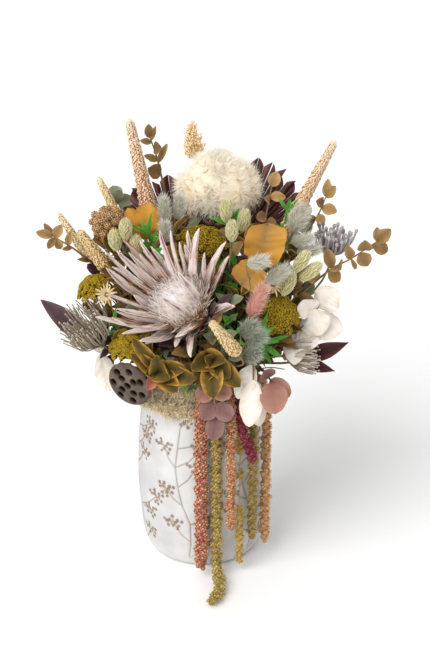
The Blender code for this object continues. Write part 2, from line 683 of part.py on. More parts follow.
# Ruscus twigs with small pointed leaves
FACE = (0.0, -1.0, 0.5)
GREEN = (0.20, 0.36, 0.10)
spray("ruscus_left", [(-0.0570, -0.0310, 0.4080), (-0.0600, -0.0330, 0.4240)], [
    (0.3, (-0.0440, -0.0390, 0.4120), 0.012, FACE),
    (0.5, (-0.0730, -0.0310, 0.4140), 0.010, FACE),
    (0.7, (-0.0510, -0.0400, 0.4320), 0.012, FACE),
    (1.0, (-0.0690, -0.0360, 0.4440), 0.012, FACE),
], GREEN)
spray("ruscus_right", [(0.0930, -0.0070, 0.4250), (0.0980, -0.0080, 0.4420)], [
    (0.3, (0.0830, -0.0130, 0.4320), 0.011, FACE),
    (0.6, (0.1080, -0.0140, 0.4400), 0.011, FACE),
    (1.0, (0.1000, -0.0100, 0.4600), 0.011, FACE),
], GREEN)

spray("ruscus_centre", [(0.0338, -0.0290, 0.4360)], [
    (0.8, (0.0190, -0.0320, 0.4529), 0.012, FACE),
    (1.0, (0.0420, -0.0280, 0.4560), 0.011, FACE),
], GREEN)
spray("ruscus_front", [(0.0650, -0.0960, 0.3230)], [
    (0.9, (0.0560, -0.0980, 0.3500), 0.012, FACE),
    (0.3, (0.0730, -0.1080, 0.3090), 0.014, FACE),
    (0.2, (0.0600, -0.1040, 0.2960), 0.012, FACE),
    (0.8, (0.0860, -0.1020, 0.3230), 0.012, FACE),
], GREEN)

# Single broad leaves
spray("gold_leaf", [(-0.0640, -0.0120, 0.4110)], [
    (0.9, (-0.0610, -0.0130, 0.4560), 0.034, (0.10, -1.0, 0.3)),
    (0.4, (-0.0860, -0.0030, 0.4460), 0.024, (-0.2, -1.0, 0.3)),
], (0.78, 0.50, 0.08))
spray("dark_leaf_left", [(-0.1130, -0.0290, 0.2740)], [
    (0.9, (-0.1909, -0.0050, 0.3314), 0.026, (-0.3, -0.8, 0.6)),
    (0.5, (-0.1210, -0.0480, 0.2480), 0.016, (-0.3, -0.8, 0.6)),
], (0.16, 0.10, 0.13), rows=4)
spray("dark_leaf_right", [(0.1130, -0.0300, 0.2640)], [
    (0.6, (0.1715, -0.0300, 0.2876), 0.034, (0.2, -0.9, 0.5)),
    (0.9, (0.1550, -0.0500, 0.2600), 0.024, (0.2, -0.9, 0.5)),
], (0.18, 0.05, 0.07), rows=4)
spray("ochre_leaves", [(0.0660, -0.0560, 0.4000)], [
    (0.9, (0.0740, -0.0620, 0.4507), 0.046, (0.0, -1.0, 0.3)),
    (0.6, (0.0440, -0.0700, 0.3780), 0.040, (0.0, -1.0, 0.4)),
], (0.70, 0.42, 0.10), blunt=0.5)

# Eucalyptus and other leafy twigs
BROWN_LEAF = (0.50, 0.34, 0.18)
GREY_LEAF = (0.42, 0.42, 0.33)
spray("eucalyptus_left", [
    (-0.1464, -0.0220, 0.4022), (-0.1609, -0.0220, 0.4122), (-0.1710, -0.0220, 0.4190),
], [
    (1.0, (-0.1900, -0.0240, 0.4248), 0.011, FACE),
    (0.95, (-0.1811, -0.0180, 0.4330), 0.008, FACE),
    (0.9, (-0.1600, -0.0240, 0.4340), 0.012, FACE),
    (0.9, (-0.1770, -0.0260, 0.4050), 0.009, FACE),
    (0.85, (-0.1630, -0.0200, 0.4020), 0.010, FACE),
    (0.5, (-0.1490, -0.0300, 0.4290), 0.009, FACE),
    (0.4, (-0.1605, -0.0280, 0.4050), 0.006, FACE),
    (0.1, (-0.1430, -0.0340, 0.3950), 0.007, FACE),
], BROWN_LEAF)
spray("eucalyptus_top", [(-0.0534, 0.0540, 0.4867), (-0.0612, 0.0550, 0.5121)], [
    (1.0, (-0.0625, 0.0540, 0.5282), 0.012, FACE),
    (0.9, (-0.0542, 0.0580, 0.5245), 0.006, FACE),
    (0.85, (-0.0727, 0.0520, 0.5085), 0.008, FACE),
    (0.7, (-0.0475, 0.0480, 0.5019), 0.016, FACE),
    (0.45, (-0.0683, 0.0500, 0.4912), 0.009, FACE),
    (0.4, (-0.0412, 0.0580, 0.5031), 0.008, FACE),
    (0.15, (-0.0640, 0.0460, 0.4770), 0.019, FACE),
], BROWN_LEAF)
spray("eucalyptus_upper", [(0.0763, 0.0240, 0.4394), (0.0807, 0.0260, 0.4622)], [
    (1.0, (0.0863, 0.0300, 0.4786), 0.015, FACE),
    (0.7, (0.0969, 0.0200, 0.4502), 0.012, FACE),
    (0.6, (0.0710, 0.0080, 0.4540), 0.012, FACE),
    (0.3, (0.0622, 0.0160, 0.4263), 0.014, FACE),
    (0.15, (0.0862, 0.0300, 0.4158), 0.012, FACE),
], BROWN_LEAF)
spray("eucalyptus_side", [(0.1364, 0.0140, 0.4358), (0.1433, 0.0200, 0.4521)], [
    (1.0, (0.1451, 0.0220, 0.4727), 0.011, FACE),
    (0.95, (0.1536, 0.0160, 0.4662), 0.013, FACE),
    (0.7, (0.1311, 0.0100, 0.4497), 0.013, FACE),
    (0.45, (0.1389, 0.0060, 0.4212), 0.012, FACE),
    (0.6, (0.1558, 0.0100, 0.4361), 0.014, FACE),
    (0.3, (0.1215, 0.0020, 0.4359), 0.010, FACE),
], BROWN_LEAF)
spray("eucalyptus_long", [
    (0.1425, -0.0420, 0.3828), (0.1707, -0.0400, 0.3993), (0.2005, -0.0400, 0.4214),
], [
    (0.05, (0.1304, -0.0500, 0.3475), 0.020, FACE),
    (0.25, (0.1230, -0.0440, 0.3833), 0.016, FACE),
    (0.45, (0.1574, -0.0540, 0.3904), 0.020, FACE),
    (0.35, (0.1574, -0.0460, 0.3733), 0.016, FACE),
    (0.4, (0.1410, -0.0340, 0.4087), 0.014, FACE),
    (0.65, (0.1763, -0.0340, 0.3831), 0.006, FACE),
    (0.65, (0.1639, -0.0460, 0.4177), 0.012, FACE),
    (0.75, (0.1887, -0.0460, 0.3919), 0.018, FACE),
    (0.8, (0.1836, -0.0500, 0.4254), 0.018, FACE),
    (0.9, (0.2113, -0.0400, 0.4079), 0.016, FACE),
    (1.0, (0.1982, -0.0340, 0.4348), 0.010, FACE),
    (1.0, (0.2128, -0.0460, 0.4372), 0.016, FACE),
], BROWN_LEAF)
knots = [(-0.0900, 0.0900, 0.3800), (-0.1050, 0.1100, 0.4150)]
leaves = twig_leaves("eucalyptus_back_left", knots, 7, 0.034, 0.025, 0.7, 15)
spray("eucalyptus_back_left", knots, leaves, GREY_LEAF, rows=2)
knots = [(0.1000, 0.0900, 0.3650), (0.1200, 0.1080, 0.3950)]
leaves = twig_leaves("eucalyptus_back_right", knots, 7, 0.034, 0.025, 0.7, 16)
spray("eucalyptus_back_right", knots, leaves, GREY_LEAF, rows=2)

# Low sprays over the front of the rim
MAUVE = (0.58, 0.40, 0.38)
spray("eucalyptus_pink", [(0.0130, -0.1080, 0.2560), (0.0170, -0.1120, 0.2350)], [
    (0.2, (-0.0060, -0.1150, 0.2560), 0.022, FACE),
    (0.3, (0.0340, -0.1150, 0.2640), 0.022, FACE),
    (0.6, (0.0010, -0.1180, 0.2330), 0.022, FACE),
    (0.7, (0.0350, -0.1190, 0.2350), 0.022, FACE),
    (1.0, (0.0120, -0.1200, 0.2070), 0.022, FACE),
], MAUVE, rows=2)
OLIVE = (0.44, 0.38, 0.16)
spray("olive_left", [(-0.0500, -0.0980, 0.2860)], [
    (0.2, (-0.0800, -0.1120, 0.3130), 0.016, FACE),
    (0.5, (-0.0500, -0.1230, 0.3170), 0.018, FACE),
    (0.8, (-0.0180, -0.1160, 0.2960), 0.018, FACE),
    (1.0, (-0.0280, -0.1230, 0.2700), 0.020, FACE),
], OLIVE)
spray("olive_centre", [(0.0110, -0.0980, 0.2980)], [
    (0.3, (-0.0060, -0.1160, 0.2760), 0.022, FACE),
    (0.6, (0.0130, -0.1270, 0.2640), 0.022, FACE),
    (0.8, (0.0320, -0.1180, 0.2860), 0.020, FACE),
    (1.0, (0.0030, -0.1230, 0.3150), 0.016, FACE),
], OLIVE)
PAPER = (0.80, 0.76, 0.68)
spray("pale_leaves_front", [(0.0580, -0.0990, 0.2880), (0.0580, -0.1040, 0.2760)], [
    (0.2, (0.0400, -0.1120, 0.2560), 0.020, FACE),
    (1.0, (0.0530, -0.1220, 0.2250), 0.020, FACE),
    (1.0, (0.0650, -0.1020, 0.2150), 0.018, FACE),
], PAPER)
spray("pale_leaves_right", [(0.1200, -0.0500, 0.3230), (0.1340, -0.0480, 0.3420)], [
    (0.2, (0.1330, -0.0660, 0.3020), 0.026, FACE),
    (0.5, (0.1620, -0.0540, 0.3160), 0.028, FACE),
    (0.7, (0.1150, -0.0600, 0.3560), 0.024, FACE),
    (1.0, (0.1540, -0.0640, 0.3700), 0.028, FACE),
], PAPER)
spray("pink_leaves", [(0.0800, -0.0980, 0.2690)], [
    (0.4, (0.0700, -0.1140, 0.2930), 0.022, FACE),
    (0.6, (0.1040, -0.0960, 0.2480), 0.024, FACE),
    (1.0, (0.0860, -0.1300, 0.2440), 0.036, FACE),
], MAUVE)

# The king protea: a cup, a dome of styles and long stiff bracts, each run to its own tip
origin = Vector(STEMS["king_protea"][0])
way = Vector(STEMS["king_protea"][1]).normalized()
levels = ((0.0, 0.0), (0.001, 0.006), (0.012, 0.016), (0.026, 0.024), (0.040, 0.022), (0.044, 0.0))
cup = sweep([origin + way * high for high, _ in levels], [wide for _, wide in levels], 9)
dome = ball(Vector((0, 0, 0)), (0.034, 0.034, 0.029), 2, 0.0, 0, 0.10)
pieces = [stem("king_protea", 6), cup, aim(dome, origin + way * 0.052, way)]
BRACTS = [
    (-0.1130, -0.0850, 0.4082, 0.0140), (-0.1099, -0.0750, 0.4202, 0.0080),
    (-0.0966, -0.0800, 0.4239, 0.0110), (-0.0888, -0.0750, 0.4358, 0.0130),
    (-0.0670, -0.0700, 0.4347, 0.0090), (-0.0723, -0.0900, 0.4250, 0.0110),
    (-0.0479, -0.0750, 0.4358, 0.0110), (-0.0366, -0.0750, 0.4460, 0.0090),
    (-0.0158, -0.0780, 0.4440, 0.0100), (-0.0068, -0.0800, 0.4500, 0.0140),
    (0.0245, -0.0850, 0.4360, 0.0140), (0.0284, -0.0880, 0.4200, 0.0120),
    (-0.1128, -0.1150, 0.3690, 0.0140), (-0.1062, -0.1100, 0.3514, 0.0120),
    (-0.0706, -0.1250, 0.3400, 0.0120), (-0.0114, -0.1350, 0.3237, 0.0100),
    (0.0324, -0.0980, 0.3700, 0.0140), (0.0407, -0.1000, 0.3607, 0.0120),
    (-0.0640, -0.1020, 0.3200, 0.0150), (-0.0309, -0.1000, 0.3140, 0.0140),
]
for k, (x, y, z, wide) in enumerate(BRACTS):
    tip = Vector((x, y, z))
    out = tip - origin
    out = (out - way * out.dot(way)).normalized()
    low = origin + way * (0.012 + 0.006 * (k % 2)) + out * 0.009
    pieces.append(leaf(low, tip, wide, way, 2, -0.15, 0.3))
CROSSING = [
    ((0.0020, -0.0860, 0.3580), (-0.0257, -0.1270, 0.4195), 0.013),
    ((-0.0060, -0.0960, 0.3460), (-0.0440, -0.1420, 0.3965), 0.012),
    ((0.0060, -0.0800, 0.3470), (-0.0286, -0.1400, 0.3472), 0.013),
]
for low, tip, wide in CROSSING:
    pieces.append(leaf(Vector(low), Vector(tip), wide, FACE, 3, 0.15, 0.3, 0.9, 0.6))
finish("king_protea", pieces, (0.70, 0.54, 0.50))

# The lotus pod: a funnel whose face has seed holes
FUNNEL = [
    (0.0, 0.000), (0.0040, 0.000), (0.0060, 0.010), (0.0110, 0.024), (0.0200, 0.036),
    (0.0270, 0.042), (0.0280, 0.046), (0.0250, 0.048), (0.0, 0.0495),
]
origin = Vector(STEMS["lotus_pod"][0])
way = Vector(STEMS["lotus_pod"][1]).normalized()
pod = aim(turned("pod", FUNNEL, 11, TOOLS), origin, way)
seats = []
for ring, amount in ((0.0, 1), (0.0110, 4), (0.0200, 7)):
    for k in range(amount):
        turn = k * math.tau / amount
        spot = Vector((ring * math.cos(turn), ring * math.sin(turn), 0.0430))
        end = spot + Vector((0.0, 0.0, 0.012))
        steps = [spot, spot + Vector((0.0, 0.0, 0.0002)), end - Vector((0, 0, 0.0002)), end]
        seats.append(aim(sweep(steps, [0.0, 0.0030, 0.0030, 0.0], 5), origin, way))
join(pod, [stem("lotus_pod")])
join(pod, seats, "DIFFERENCE")
finish("lotus_pod", [pod], (0.46, 0.38, 0.32))

# Hanging strands: up out of the foam, over the rim and down the vase's side
for name, (start, low, thick, lift) in STRANDS.items():
    outward = Vector((start[0], start[1], 0.0))
    reach = outward.length
    outward.normalize()
    root = Vector((ROOTS[name].x, ROOTS[name].y, FOAM_TOP))
    lean = Vector((root.x * ROOT_LEAN, root.y * ROOT_LEAN, 1.0)).normalized()
    along_rim = (-outward.y, outward.x, 0.0)
    HOLES[name] = (root, lean, 0.0012, 6, along_rim)
    height = FOAM_TOP + lift
    knots = [
        root + lean * 0.004,
        outward * (reach - 0.020) + Vector((0.0, 0.0, height)),
        outward * (reach - 0.002) + Vector((0.0, 0.0, height - 0.016)),
        outward * reach + Vector((0.0, 0.0, 0.160)),
        outward * reach + Vector((0.0, 0.0, max(low, 0.020) + 0.030)),
        outward * reach + Vector((0.0, 0.0, max(low, 0.012))),
    ]
    if name == "amaranth_olive":
        knots[-1] = Vector((0.0165, -0.0930, 0.0160))
        knots += [Vector((0.0200, -0.1250, 0.0085)), Vector((0.0080, -0.1600, 0.0080))]
    if name == "amaranth_burgundy":
        knots[1] = Vector((0.0480, -0.0700, height))
        knots[2] = Vector((0.0440, -0.0900, height - 0.024))
        knots[3] = Vector((0.0460, -0.0965, 0.2080))
        knots[4] = Vector((0.0545, -0.0950, 0.1830))
        knots[5] = Vector((0.0600, -0.0920, 0.1600))
    line = curve_points(knots, 17)
    points = [root - lean * STEM_DEPTH, root - lean * (STEM_DEPTH - 0.0006)] + line
    radii = [0.0, 0.0012, 0.0012, 0.0012, 0.0012, thick * 0.5]
    radii += [thick] * (len(points) - 9) + [thick * 0.85, thick * 0.5, 0.0]
    pieces = [sweep(points, radii, 6, 0.16, along_rim)]
    finish(name, pieces, (0.50, 0.30, 0.22))

# A cushion of moss laid over the rim and the foam's edge
lip = [(0.0, FLOOR_TOP)] + [(r + GAP, z) for r, z in OUTSIDE[3:-2]] + [
    (0.0698, 0.2206), (0.0670, 0.2212), (0.0646, 0.2212), (0.0620, 0.2290),
    (FOAM_EDGE + GAP, FOAM_TOP - 0.001), (FOAM_EDGE - 0.002, FOAM_TOP + GAP), (0.0, FOAM_TOP + GAP),
]
draw = random.Random(4)
pieces = []
for k in range(7):
    turn = math.radians(-141 + 4.8 * k)
    reach = 0.067 + 0.009 * (k % 2)
    spot = Vector((reach * math.cos(turn), reach * math.sin(turn), 0.236 - 0.018 * (k % 2)))
    size = draw.uniform(0.014, 0.016)
    pieces.append(ball(spot, (size * 1.2, size * 1.2, size), 1, 0.10, k))
moss = pieces[0]
join(moss, pieces[1:])
join(moss, [turned("lip", lip, VASE_STEPS, TOOLS)], "DIFFERENCE")
finish("moss_front", [moss], (0.70, 0.66, 0.52))

# The foam plug that fills the vase, with a plain hole for every stem
CORE = [
    (0.0, FLOOR_TOP + 0.0004), (0.0545, FLOOR_TOP + 0.0004), (0.0638, 0.0220), (0.0638, 0.2205),
    (0.0620, 0.2280), (FOAM_EDGE, FOAM_TOP - 0.0016), (FOAM_EDGE - 0.0025, FOAM_TOP),
    (0.0, FOAM_TOP),
]
foam = turned("foam", CORE, VASE_STEPS, TOOLS)
drills = []
for root, lean, radius, sides, hint in HOLES.values():
    low = root - lean * HOLE_DEPTH
    high = root + lean * 0.006
    steps = [low, low + lean * 0.0001, high, high + lean * 0.0001]
    wide = radius + 0.0003 / math.cos(math.pi / sides)
    drills.append(sweep(steps, [0.0, wide, wide, 0.0], sides, 0.0, hint))
join(foam, drills, "DIFFERENCE")
flatten(foam)
finish("foam", [foam], (0.22, 0.30, 0.20))

# Nothing used for cutting is left over
drop(TOOLS.objects)
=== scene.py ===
import math
import random

import bpy
import numpy as np
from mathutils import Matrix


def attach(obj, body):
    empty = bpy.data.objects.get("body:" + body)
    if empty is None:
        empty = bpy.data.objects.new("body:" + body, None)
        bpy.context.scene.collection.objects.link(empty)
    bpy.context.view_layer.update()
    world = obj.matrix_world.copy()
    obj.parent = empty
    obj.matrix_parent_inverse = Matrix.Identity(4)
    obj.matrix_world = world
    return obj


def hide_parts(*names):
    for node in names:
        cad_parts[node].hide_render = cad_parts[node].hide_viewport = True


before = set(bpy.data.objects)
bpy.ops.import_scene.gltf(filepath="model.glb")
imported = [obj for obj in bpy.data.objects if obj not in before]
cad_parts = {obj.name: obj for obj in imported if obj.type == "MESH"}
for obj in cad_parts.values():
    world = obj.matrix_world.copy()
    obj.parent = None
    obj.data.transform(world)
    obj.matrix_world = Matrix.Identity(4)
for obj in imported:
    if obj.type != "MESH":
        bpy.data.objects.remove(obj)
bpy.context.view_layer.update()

# The vase: a tall round jar of pale chalky stoneware, thrown, with sprigs pressed into the clay
# while it was soft. A thin brown wash stays in the pressed lines, and the rest is wiped clean.
VASE_OUTSIDE = [
    (0.0550, 0.0000), (0.0610, 0.0008), (0.0690, 0.0060), (0.0755, 0.0270), (0.0793, 0.0700),
    (0.0799, 0.1200), (0.0770, 0.1750), (0.0715, 0.2120), (0.0695, 0.2185), (0.0678, 0.2200),
]
VASE_INSIDE = [
    (0.0660, 0.2196), (0.0648, 0.2175), (0.0645, 0.2100), (0.0712, 0.1730), (0.0739, 0.1200),
    (0.0733, 0.0700), (0.0695, 0.0310), (0.0600, 0.0082),
]
PRESS_DEPTH = 0.0007


def rgb(red, green, blue):
    """A colour named as on a paint card, 0 to 255, for a shader."""
    return tuple((c / 255.0 / 12.92) if c <= 10 else ((c / 255.0 + 0.055) / 1.055) ** 2.4
                 for c in (red, green, blue)) + (1.0,)


def skin(name, stops, weigh=(0.0, 0.0, 0.6), cloud=(60.0, 0.5), rough=0.8, bump=(900.0, 0.25),
         spec=0.25, streak=(0.0, 1.0, 1.0)):
    """A dry plant's surface: a colour ramp driven by where a point lies on its leaf or grain
    (along, out from the middle, chance), by a soft cloud and by fine streaks, with a bump."""
    mat = bpy.data.materials.new(name)
    mat.use_nodes = True
    tree = mat.node_tree
    shader = tree.nodes["Principled BSDF"]
    shader.inputs["Roughness"].default_value = rough
    shader.inputs["Specular IOR Level"].default_value = spec
    lie = tree.nodes.new("ShaderNodeAttribute")
    lie.attribute_name = "lie"
    dot = tree.nodes.new("ShaderNodeVectorMath")
    dot.operation = "DOT_PRODUCT"
    dot.inputs[1].default_value = weigh
    tree.links.new(lie.outputs["Vector"], dot.inputs[0])
    spot = tree.nodes.new("ShaderNodeTexCoord")
    noise = tree.nodes.new("ShaderNodeTexNoise")
    noise.inputs["Scale"].default_value = cloud[0]
    noise.inputs["Detail"].default_value = 4.0
    tree.links.new(spot.outputs["Object"], noise.inputs["Vector"])
    mix = tree.nodes.new("ShaderNodeMath")
    mix.operation = "MULTIPLY_ADD"
    mix.inputs[1].default_value = cloud[1]
    tree.links.new(noise.outputs["Fac"], mix.inputs[0])
    tree.links.new(dot.outputs["Value"], mix.inputs[2])
    if streak[0]:
        spread = tree.nodes.new("ShaderNodeVectorMath")
        spread.operation = "MULTIPLY"
        spread.inputs[1].default_value = (streak[1], streak[2], 37.0)
        tree.links.new(lie.outputs["Vector"], spread.inputs[0])
        lines = tree.nodes.new("ShaderNodeTexNoise")
        lines.inputs["Scale"].default_value = 1.0
        tree.links.new(spread.outputs["Vector"], lines.inputs["Vector"])
        add = tree.nodes.new("ShaderNodeMath")
        add.operation = "MULTIPLY_ADD"
        add.inputs[1].default_value = streak[0]
        tree.links.new(lines.outputs["Fac"], add.inputs[0])
        tree.links.new(mix.outputs["Value"], add.inputs[2])
        mix = add
    ramp = tree.nodes.new("ShaderNodeValToRGB")
    bar = ramp.color_ramp
    bar.elements[0].position, bar.elements[0].color = stops[0][0], rgb(*stops[0][1])
    bar.elements[1].position, bar.elements[1].color = stops[-1][0], rgb(*stops[-1][1])
    for place, colour in stops[1:-1]:
        bar.elements.new(place).color = rgb(*colour)
    tree.links.new(mix.outputs["Value"], ramp.inputs["Fac"])
    tree.links.new(ramp.outputs["Color"], shader.inputs["Base Color"])
    if bump[1]:
        fine = tree.nodes.new("ShaderNodeTexNoise")
        fine.inputs["Scale"].default_value = bump[0]
        fine.inputs["Detail"].default_value = 3.0
        tree.links.new(spot.outputs["Object"], fine.inputs["Vector"])
        lift = tree.nodes.new("ShaderNodeBump")
        lift.inputs["Strength"].default_value = bump[1]
        lift.inputs["Distance"].default_value = 0.0006
        tree.links.new(fine.outputs["Fac"], lift.inputs["Height"])
        tree.links.new(lift.outputs["Normal"], shader.inputs["Normal"])
    return mat


def piece(name, parts, skins, node=None):
    """One object from parts, each (points, triangles, where each point lies, skin number)."""
    start = 0
    points, faces, lies, which = [], [], [], []
    for spots, tris, lie, number in parts:
        tris = np.asarray(tris)
        corners = spots[tris] - spots.mean(0)
        if np.einsum("ij,ij->", corners[:, 0], np.cross(corners[:, 1], corners[:, 2])) < 0.0:
            tris = tris[:, ::-1]
        points.append(spots)
        faces.append(tris + start)
        lies.append(np.broadcast_to(np.asarray(lie, float), (len(spots), 3)))
        which.append(np.full(len(tris), number))
        start += len(spots)
    faces = np.concatenate(faces)
    mesh = bpy.data.meshes.new(name)
    mesh.from_pydata(np.concatenate(points).tolist(), [], faces.tolist())
    mesh.polygons.foreach_set("use_smooth", np.ones(len(faces), bool))
    mesh.polygons.foreach_set("material_index", np.concatenate(which).astype(np.int32))
    field = mesh.attributes.new("lie", "FLOAT_VECTOR", "POINT")
    field.data.foreach_set("vector", np.concatenate(lies).astype(np.float32).ravel())
    for mat in skins:
        mesh.materials.append(mat)
    mesh.set_sharp_from_angle(angle=math.radians(75.0))
    made = bpy.data.objects.new(name, mesh)
    bpy.context.scene.collection.objects.link(made)
    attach(made, "root")
    if node:
        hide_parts(node)
    return made


def smooth_profile(knots, count):
    """Evenly spaced points on a smooth line through profile knots."""
    knots = np.asarray(knots, float)
    reach = np.concatenate([[0.0], np.cumsum(np.linalg.norm(np.diff(knots, axis=0), axis=1))])
    ends = np.vstack([2 * knots[0] - knots[1], knots, 2 * knots[-1] - knots[-2]])
    out = []
    for s in np.linspace(0.0, reach[-1], count):
        i = min(int(np.searchsorted(reach, s, side="right")) - 1, len(knots) - 2)
        t = (s - reach[i]) / (reach[i + 1] - reach[i])
        a, b, c, d = ends[i:i + 4]
        out.append(b + 0.5 * t * (c - a + t * (2 * a - 5 * b + 4 * c - d + t * (3 * (b - c) + d - a))))
    return np.array(out)


def sprig_lines():
    """The pressed pattern laid flat: stems as lines, berries as dots, in metres round and up."""
    draw = random.Random(21)
    lines, dots = [], []
    around = math.tau * 0.079
    for k in range(6):
        x = around * (k + 0.28) / 6.0
        spine = [(0.0, 0.014), (0.002, 0.040), (0.001, 0.066), (-0.006, 0.092), (-0.013, 0.116),
                 (-0.017, 0.142), (-0.014, 0.168), (-0.010, 0.194)]
        spine = [(x + a + draw.uniform(-0.002, 0.002), b) for a, b in spine]
        lines += [(one, two, 0.00088) for one, two in zip(spine, spine[1:])]
        twigs = [(0, 0.024, 0.026), (1, -0.024, 0.024), (2, 0.034, 0.026), (2, 0.026, 0.004), (3, -0.022, 0.020),
                 (4, 0.026, 0.030), (5, 0.030, 0.028), (5, -0.016, 0.026), (7, 0.006, 0.012), (6, 0.044, 0.018)]
        for at, aside, rise in twigs:
            foot = spine[at]
            hub = (foot[0] + aside * draw.uniform(0.9, 1.1), foot[1] + rise * draw.uniform(0.9, 1.1))
            knee = (foot[0] * 0.45 + hub[0] * 0.55, foot[1] * 0.6 + hub[1] * 0.4)
            lines += [(foot, knee, 0.00080), (knee, hub, 0.00072)]
            for j in range(11):
                turn = j * 2.39996 + draw.uniform(-0.3, 0.3)
                out = 0.0135 * math.sqrt((j + 0.7) / 11.0)
                end = (hub[0] + math.cos(turn) * out, hub[1] + math.sin(turn) * out * 0.72)
                if j > 3:
                    lines.append((hub, end, 0.00052))
                dots.append((end, draw.uniform(0.0015, 0.0024)))
    return lines, dots, around


def press(angle, height):
    """How deep the sprigs are pressed at each point of the wall, 0 to 1, and how brown it is."""
    lines, dots, around = sprig_lines()
    x = (angle / math.tau) * around
    deep = np.zeros_like(x)
    ring = np.zeros_like(x)
    for (ax, ay), (bx, by), wide in lines:
        dx, dy = bx - ax, by - ay
        px = (x - ax + around / 2.0) % around - around / 2.0
        t = np.clip((px * dx + (height - ay) * dy) / (dx * dx + dy * dy + 1e-12), 0.0, 1.0)
        gap = np.hypot(px - t * dx, height - ay - t * dy)
        deep = np.maximum(deep, np.exp(-(gap / wide) ** 2))
    for (cx, cy), wide in dots:
        px = (x - cx + around / 2.0) % around - around / 2.0
        gap = np.hypot(px, height - cy)
        deep = np.maximum(deep, np.exp(-(gap / wide) ** 4))
        ring = np.maximum(ring, np.exp(-((gap - wide * 0.8) / 0.00055) ** 2))
    return deep, ring


wall = smooth_profile(VASE_OUTSIDE, 162)
inner = smooth_profile(VASE_INSIDE, 14)
AROUND = 420
turns = np.arange(AROUND) / AROUND * math.tau
grid_turn, grid_row = np.meshgrid(turns, np.arange(len(wall)))
height = wall[grid_row, 1]
deep, ring = press(grid_turn, height)
fade = np.clip((height - 0.010) / 0.01, 0.0, 1.0) * np.clip((0.214 - height) / 0.006, 0.0, 1.0)
deep, ring = deep * fade, ring * fade
uneven = 0.00025 * np.sin(3 * grid_turn + height * 40.0) + 0.00015 * np.sin(7 * grid_turn - height * 90.0)
radius = wall[grid_row, 0] - PRESS_DEPTH * deep + uneven * fade
outer_points = np.stack([radius * np.cos(grid_turn), radius * np.sin(grid_turn), height], -1)
inner_turn, inner_row = np.meshgrid(turns, np.arange(len(inner)))
inner_points = np.stack([inner[inner_row, 0] * np.cos(inner_turn),
                         inner[inner_row, 0] * np.sin(inner_turn), inner[inner_row, 1]], -1)
shell = np.concatenate([outer_points.reshape(-1, 3), inner_points.reshape(-1, 3),
                        [[0.0, 0.0, 0.0], [0.0, 0.0, 0.0082]]])
brown = np.concatenate([np.maximum(deep * 0.72, ring).ravel(), np.zeros(inner_points.size // 3 + 2)])
rows = len(wall) + len(inner)


def grid_faces(rows, cols, closed=True):
    """Two triangles for each cell of a grid that may close on itself sideways."""
    across = cols if closed else cols - 1
    i, j = np.meshgrid(np.arange(rows - 1), np.arange(across), indexing="ij")
    a = (i * cols + j).ravel()
    b = (i * cols + (j + 1) % cols).ravel()
    c = ((i + 1) * cols + (j + 1) % cols).ravel()
    d = ((i + 1) * cols + j).ravel()
    return np.concatenate([np.stack([a, b, c], 1), np.stack([a, c, d], 1)])


side = np.arange(AROUND)
foot_fan = np.stack([np.full(AROUND, rows * AROUND), (side + 1) % AROUND, side], 1)
last = (rows - 1) * AROUND
floor_fan = np.stack([np.full(AROUND, rows * AROUND + 1), last + side, last + (side + 1) % AROUND], 1)
shell_faces = np.concatenate([grid_faces(rows, AROUND), foot_fan, floor_fan])
CHALK = skin("chalky_glaze", [(0.06, (226, 226, 220)), (0.20, (212, 211, 208)), (0.34, (196, 193, 194)),
                              (0.46, (184, 176, 168)), (0.66, (150, 134, 116)), (1.0, (108, 90, 72))],
             weigh=(0.0, 0.62, 0.0), cloud=(24.0, 0.50), rough=0.8, bump=(420.0, 0.4), spec=0.25)
lie = np.stack([np.zeros(len(shell)), brown, np.zeros(len(shell))], 1)
piece("vase_glazed", [(shell, shell_faces, lie, 0)], [CHALK], "vase")

# The foam plug: dry floral foam cut to fill the vase. It holds every stem by friction, and its
# crumbly top is covered by moss and leaves.
FOAM = skin("floral_foam", [(0.2, (48, 44, 32)), (0.8, (82, 76, 56))], weigh=(0, 0, 0),
            cloud=(300.0, 1.0), rough=0.95, bump=(1500.0, 0.6))
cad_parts["foam"].data.materials.clear()
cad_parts["foam"].data.materials.append(FOAM)

# The hanging strands: love-lies-bleeding amaranth, dried. Each is a limp stem crowded with lumps of
# tiny knobbly flowers, and hangs by its own weight over the vase's lip.
FOAM_TOP = 0.238


def unit(vectors):
    """Vectors brought to length one."""
    vectors = np.asarray(vectors, float)
    return vectors / (np.linalg.norm(vectors, axis=-1, keepdims=True) + 1e-12)


def tube(points, radii, sides=8, lie=(0.0, 0.0, 0.5)):
    """A round closed body along a bent line."""
    points = np.asarray(points, float)
    radii = np.maximum(np.asarray(radii, float), 0.00002)
    ways = np.gradient(points, axis=0)
    ways /= np.linalg.norm(ways, axis=1)[:, None] + 1e-12
    over = np.cross(ways[0], (0.31, -0.9, 0.21))
    rings = []
    for spot, way, radius in zip(points, ways, radii):
        over = over - way * over.dot(way)
        over /= np.linalg.norm(over) + 1e-12
        turn = np.arange(sides) / sides * math.tau
        rings.append(spot + radius * (np.cos(turn)[:, None] * over
                                      + np.sin(turn)[:, None] * np.cross(way, over)))
    count = len(points) * sides
    verts = np.concatenate(rings + [points[:1], points[-1:]])
    k = np.arange(sides)
    start = np.stack([np.full(sides, count), (k + 1) % sides, k], 1)
    end = np.stack([np.full(sides, count + 1), count - sides + k, count - sides + (k + 1) % sides], 1)
    return verts, np.concatenate([grid_faces(len(points), sides), start, end]), lie


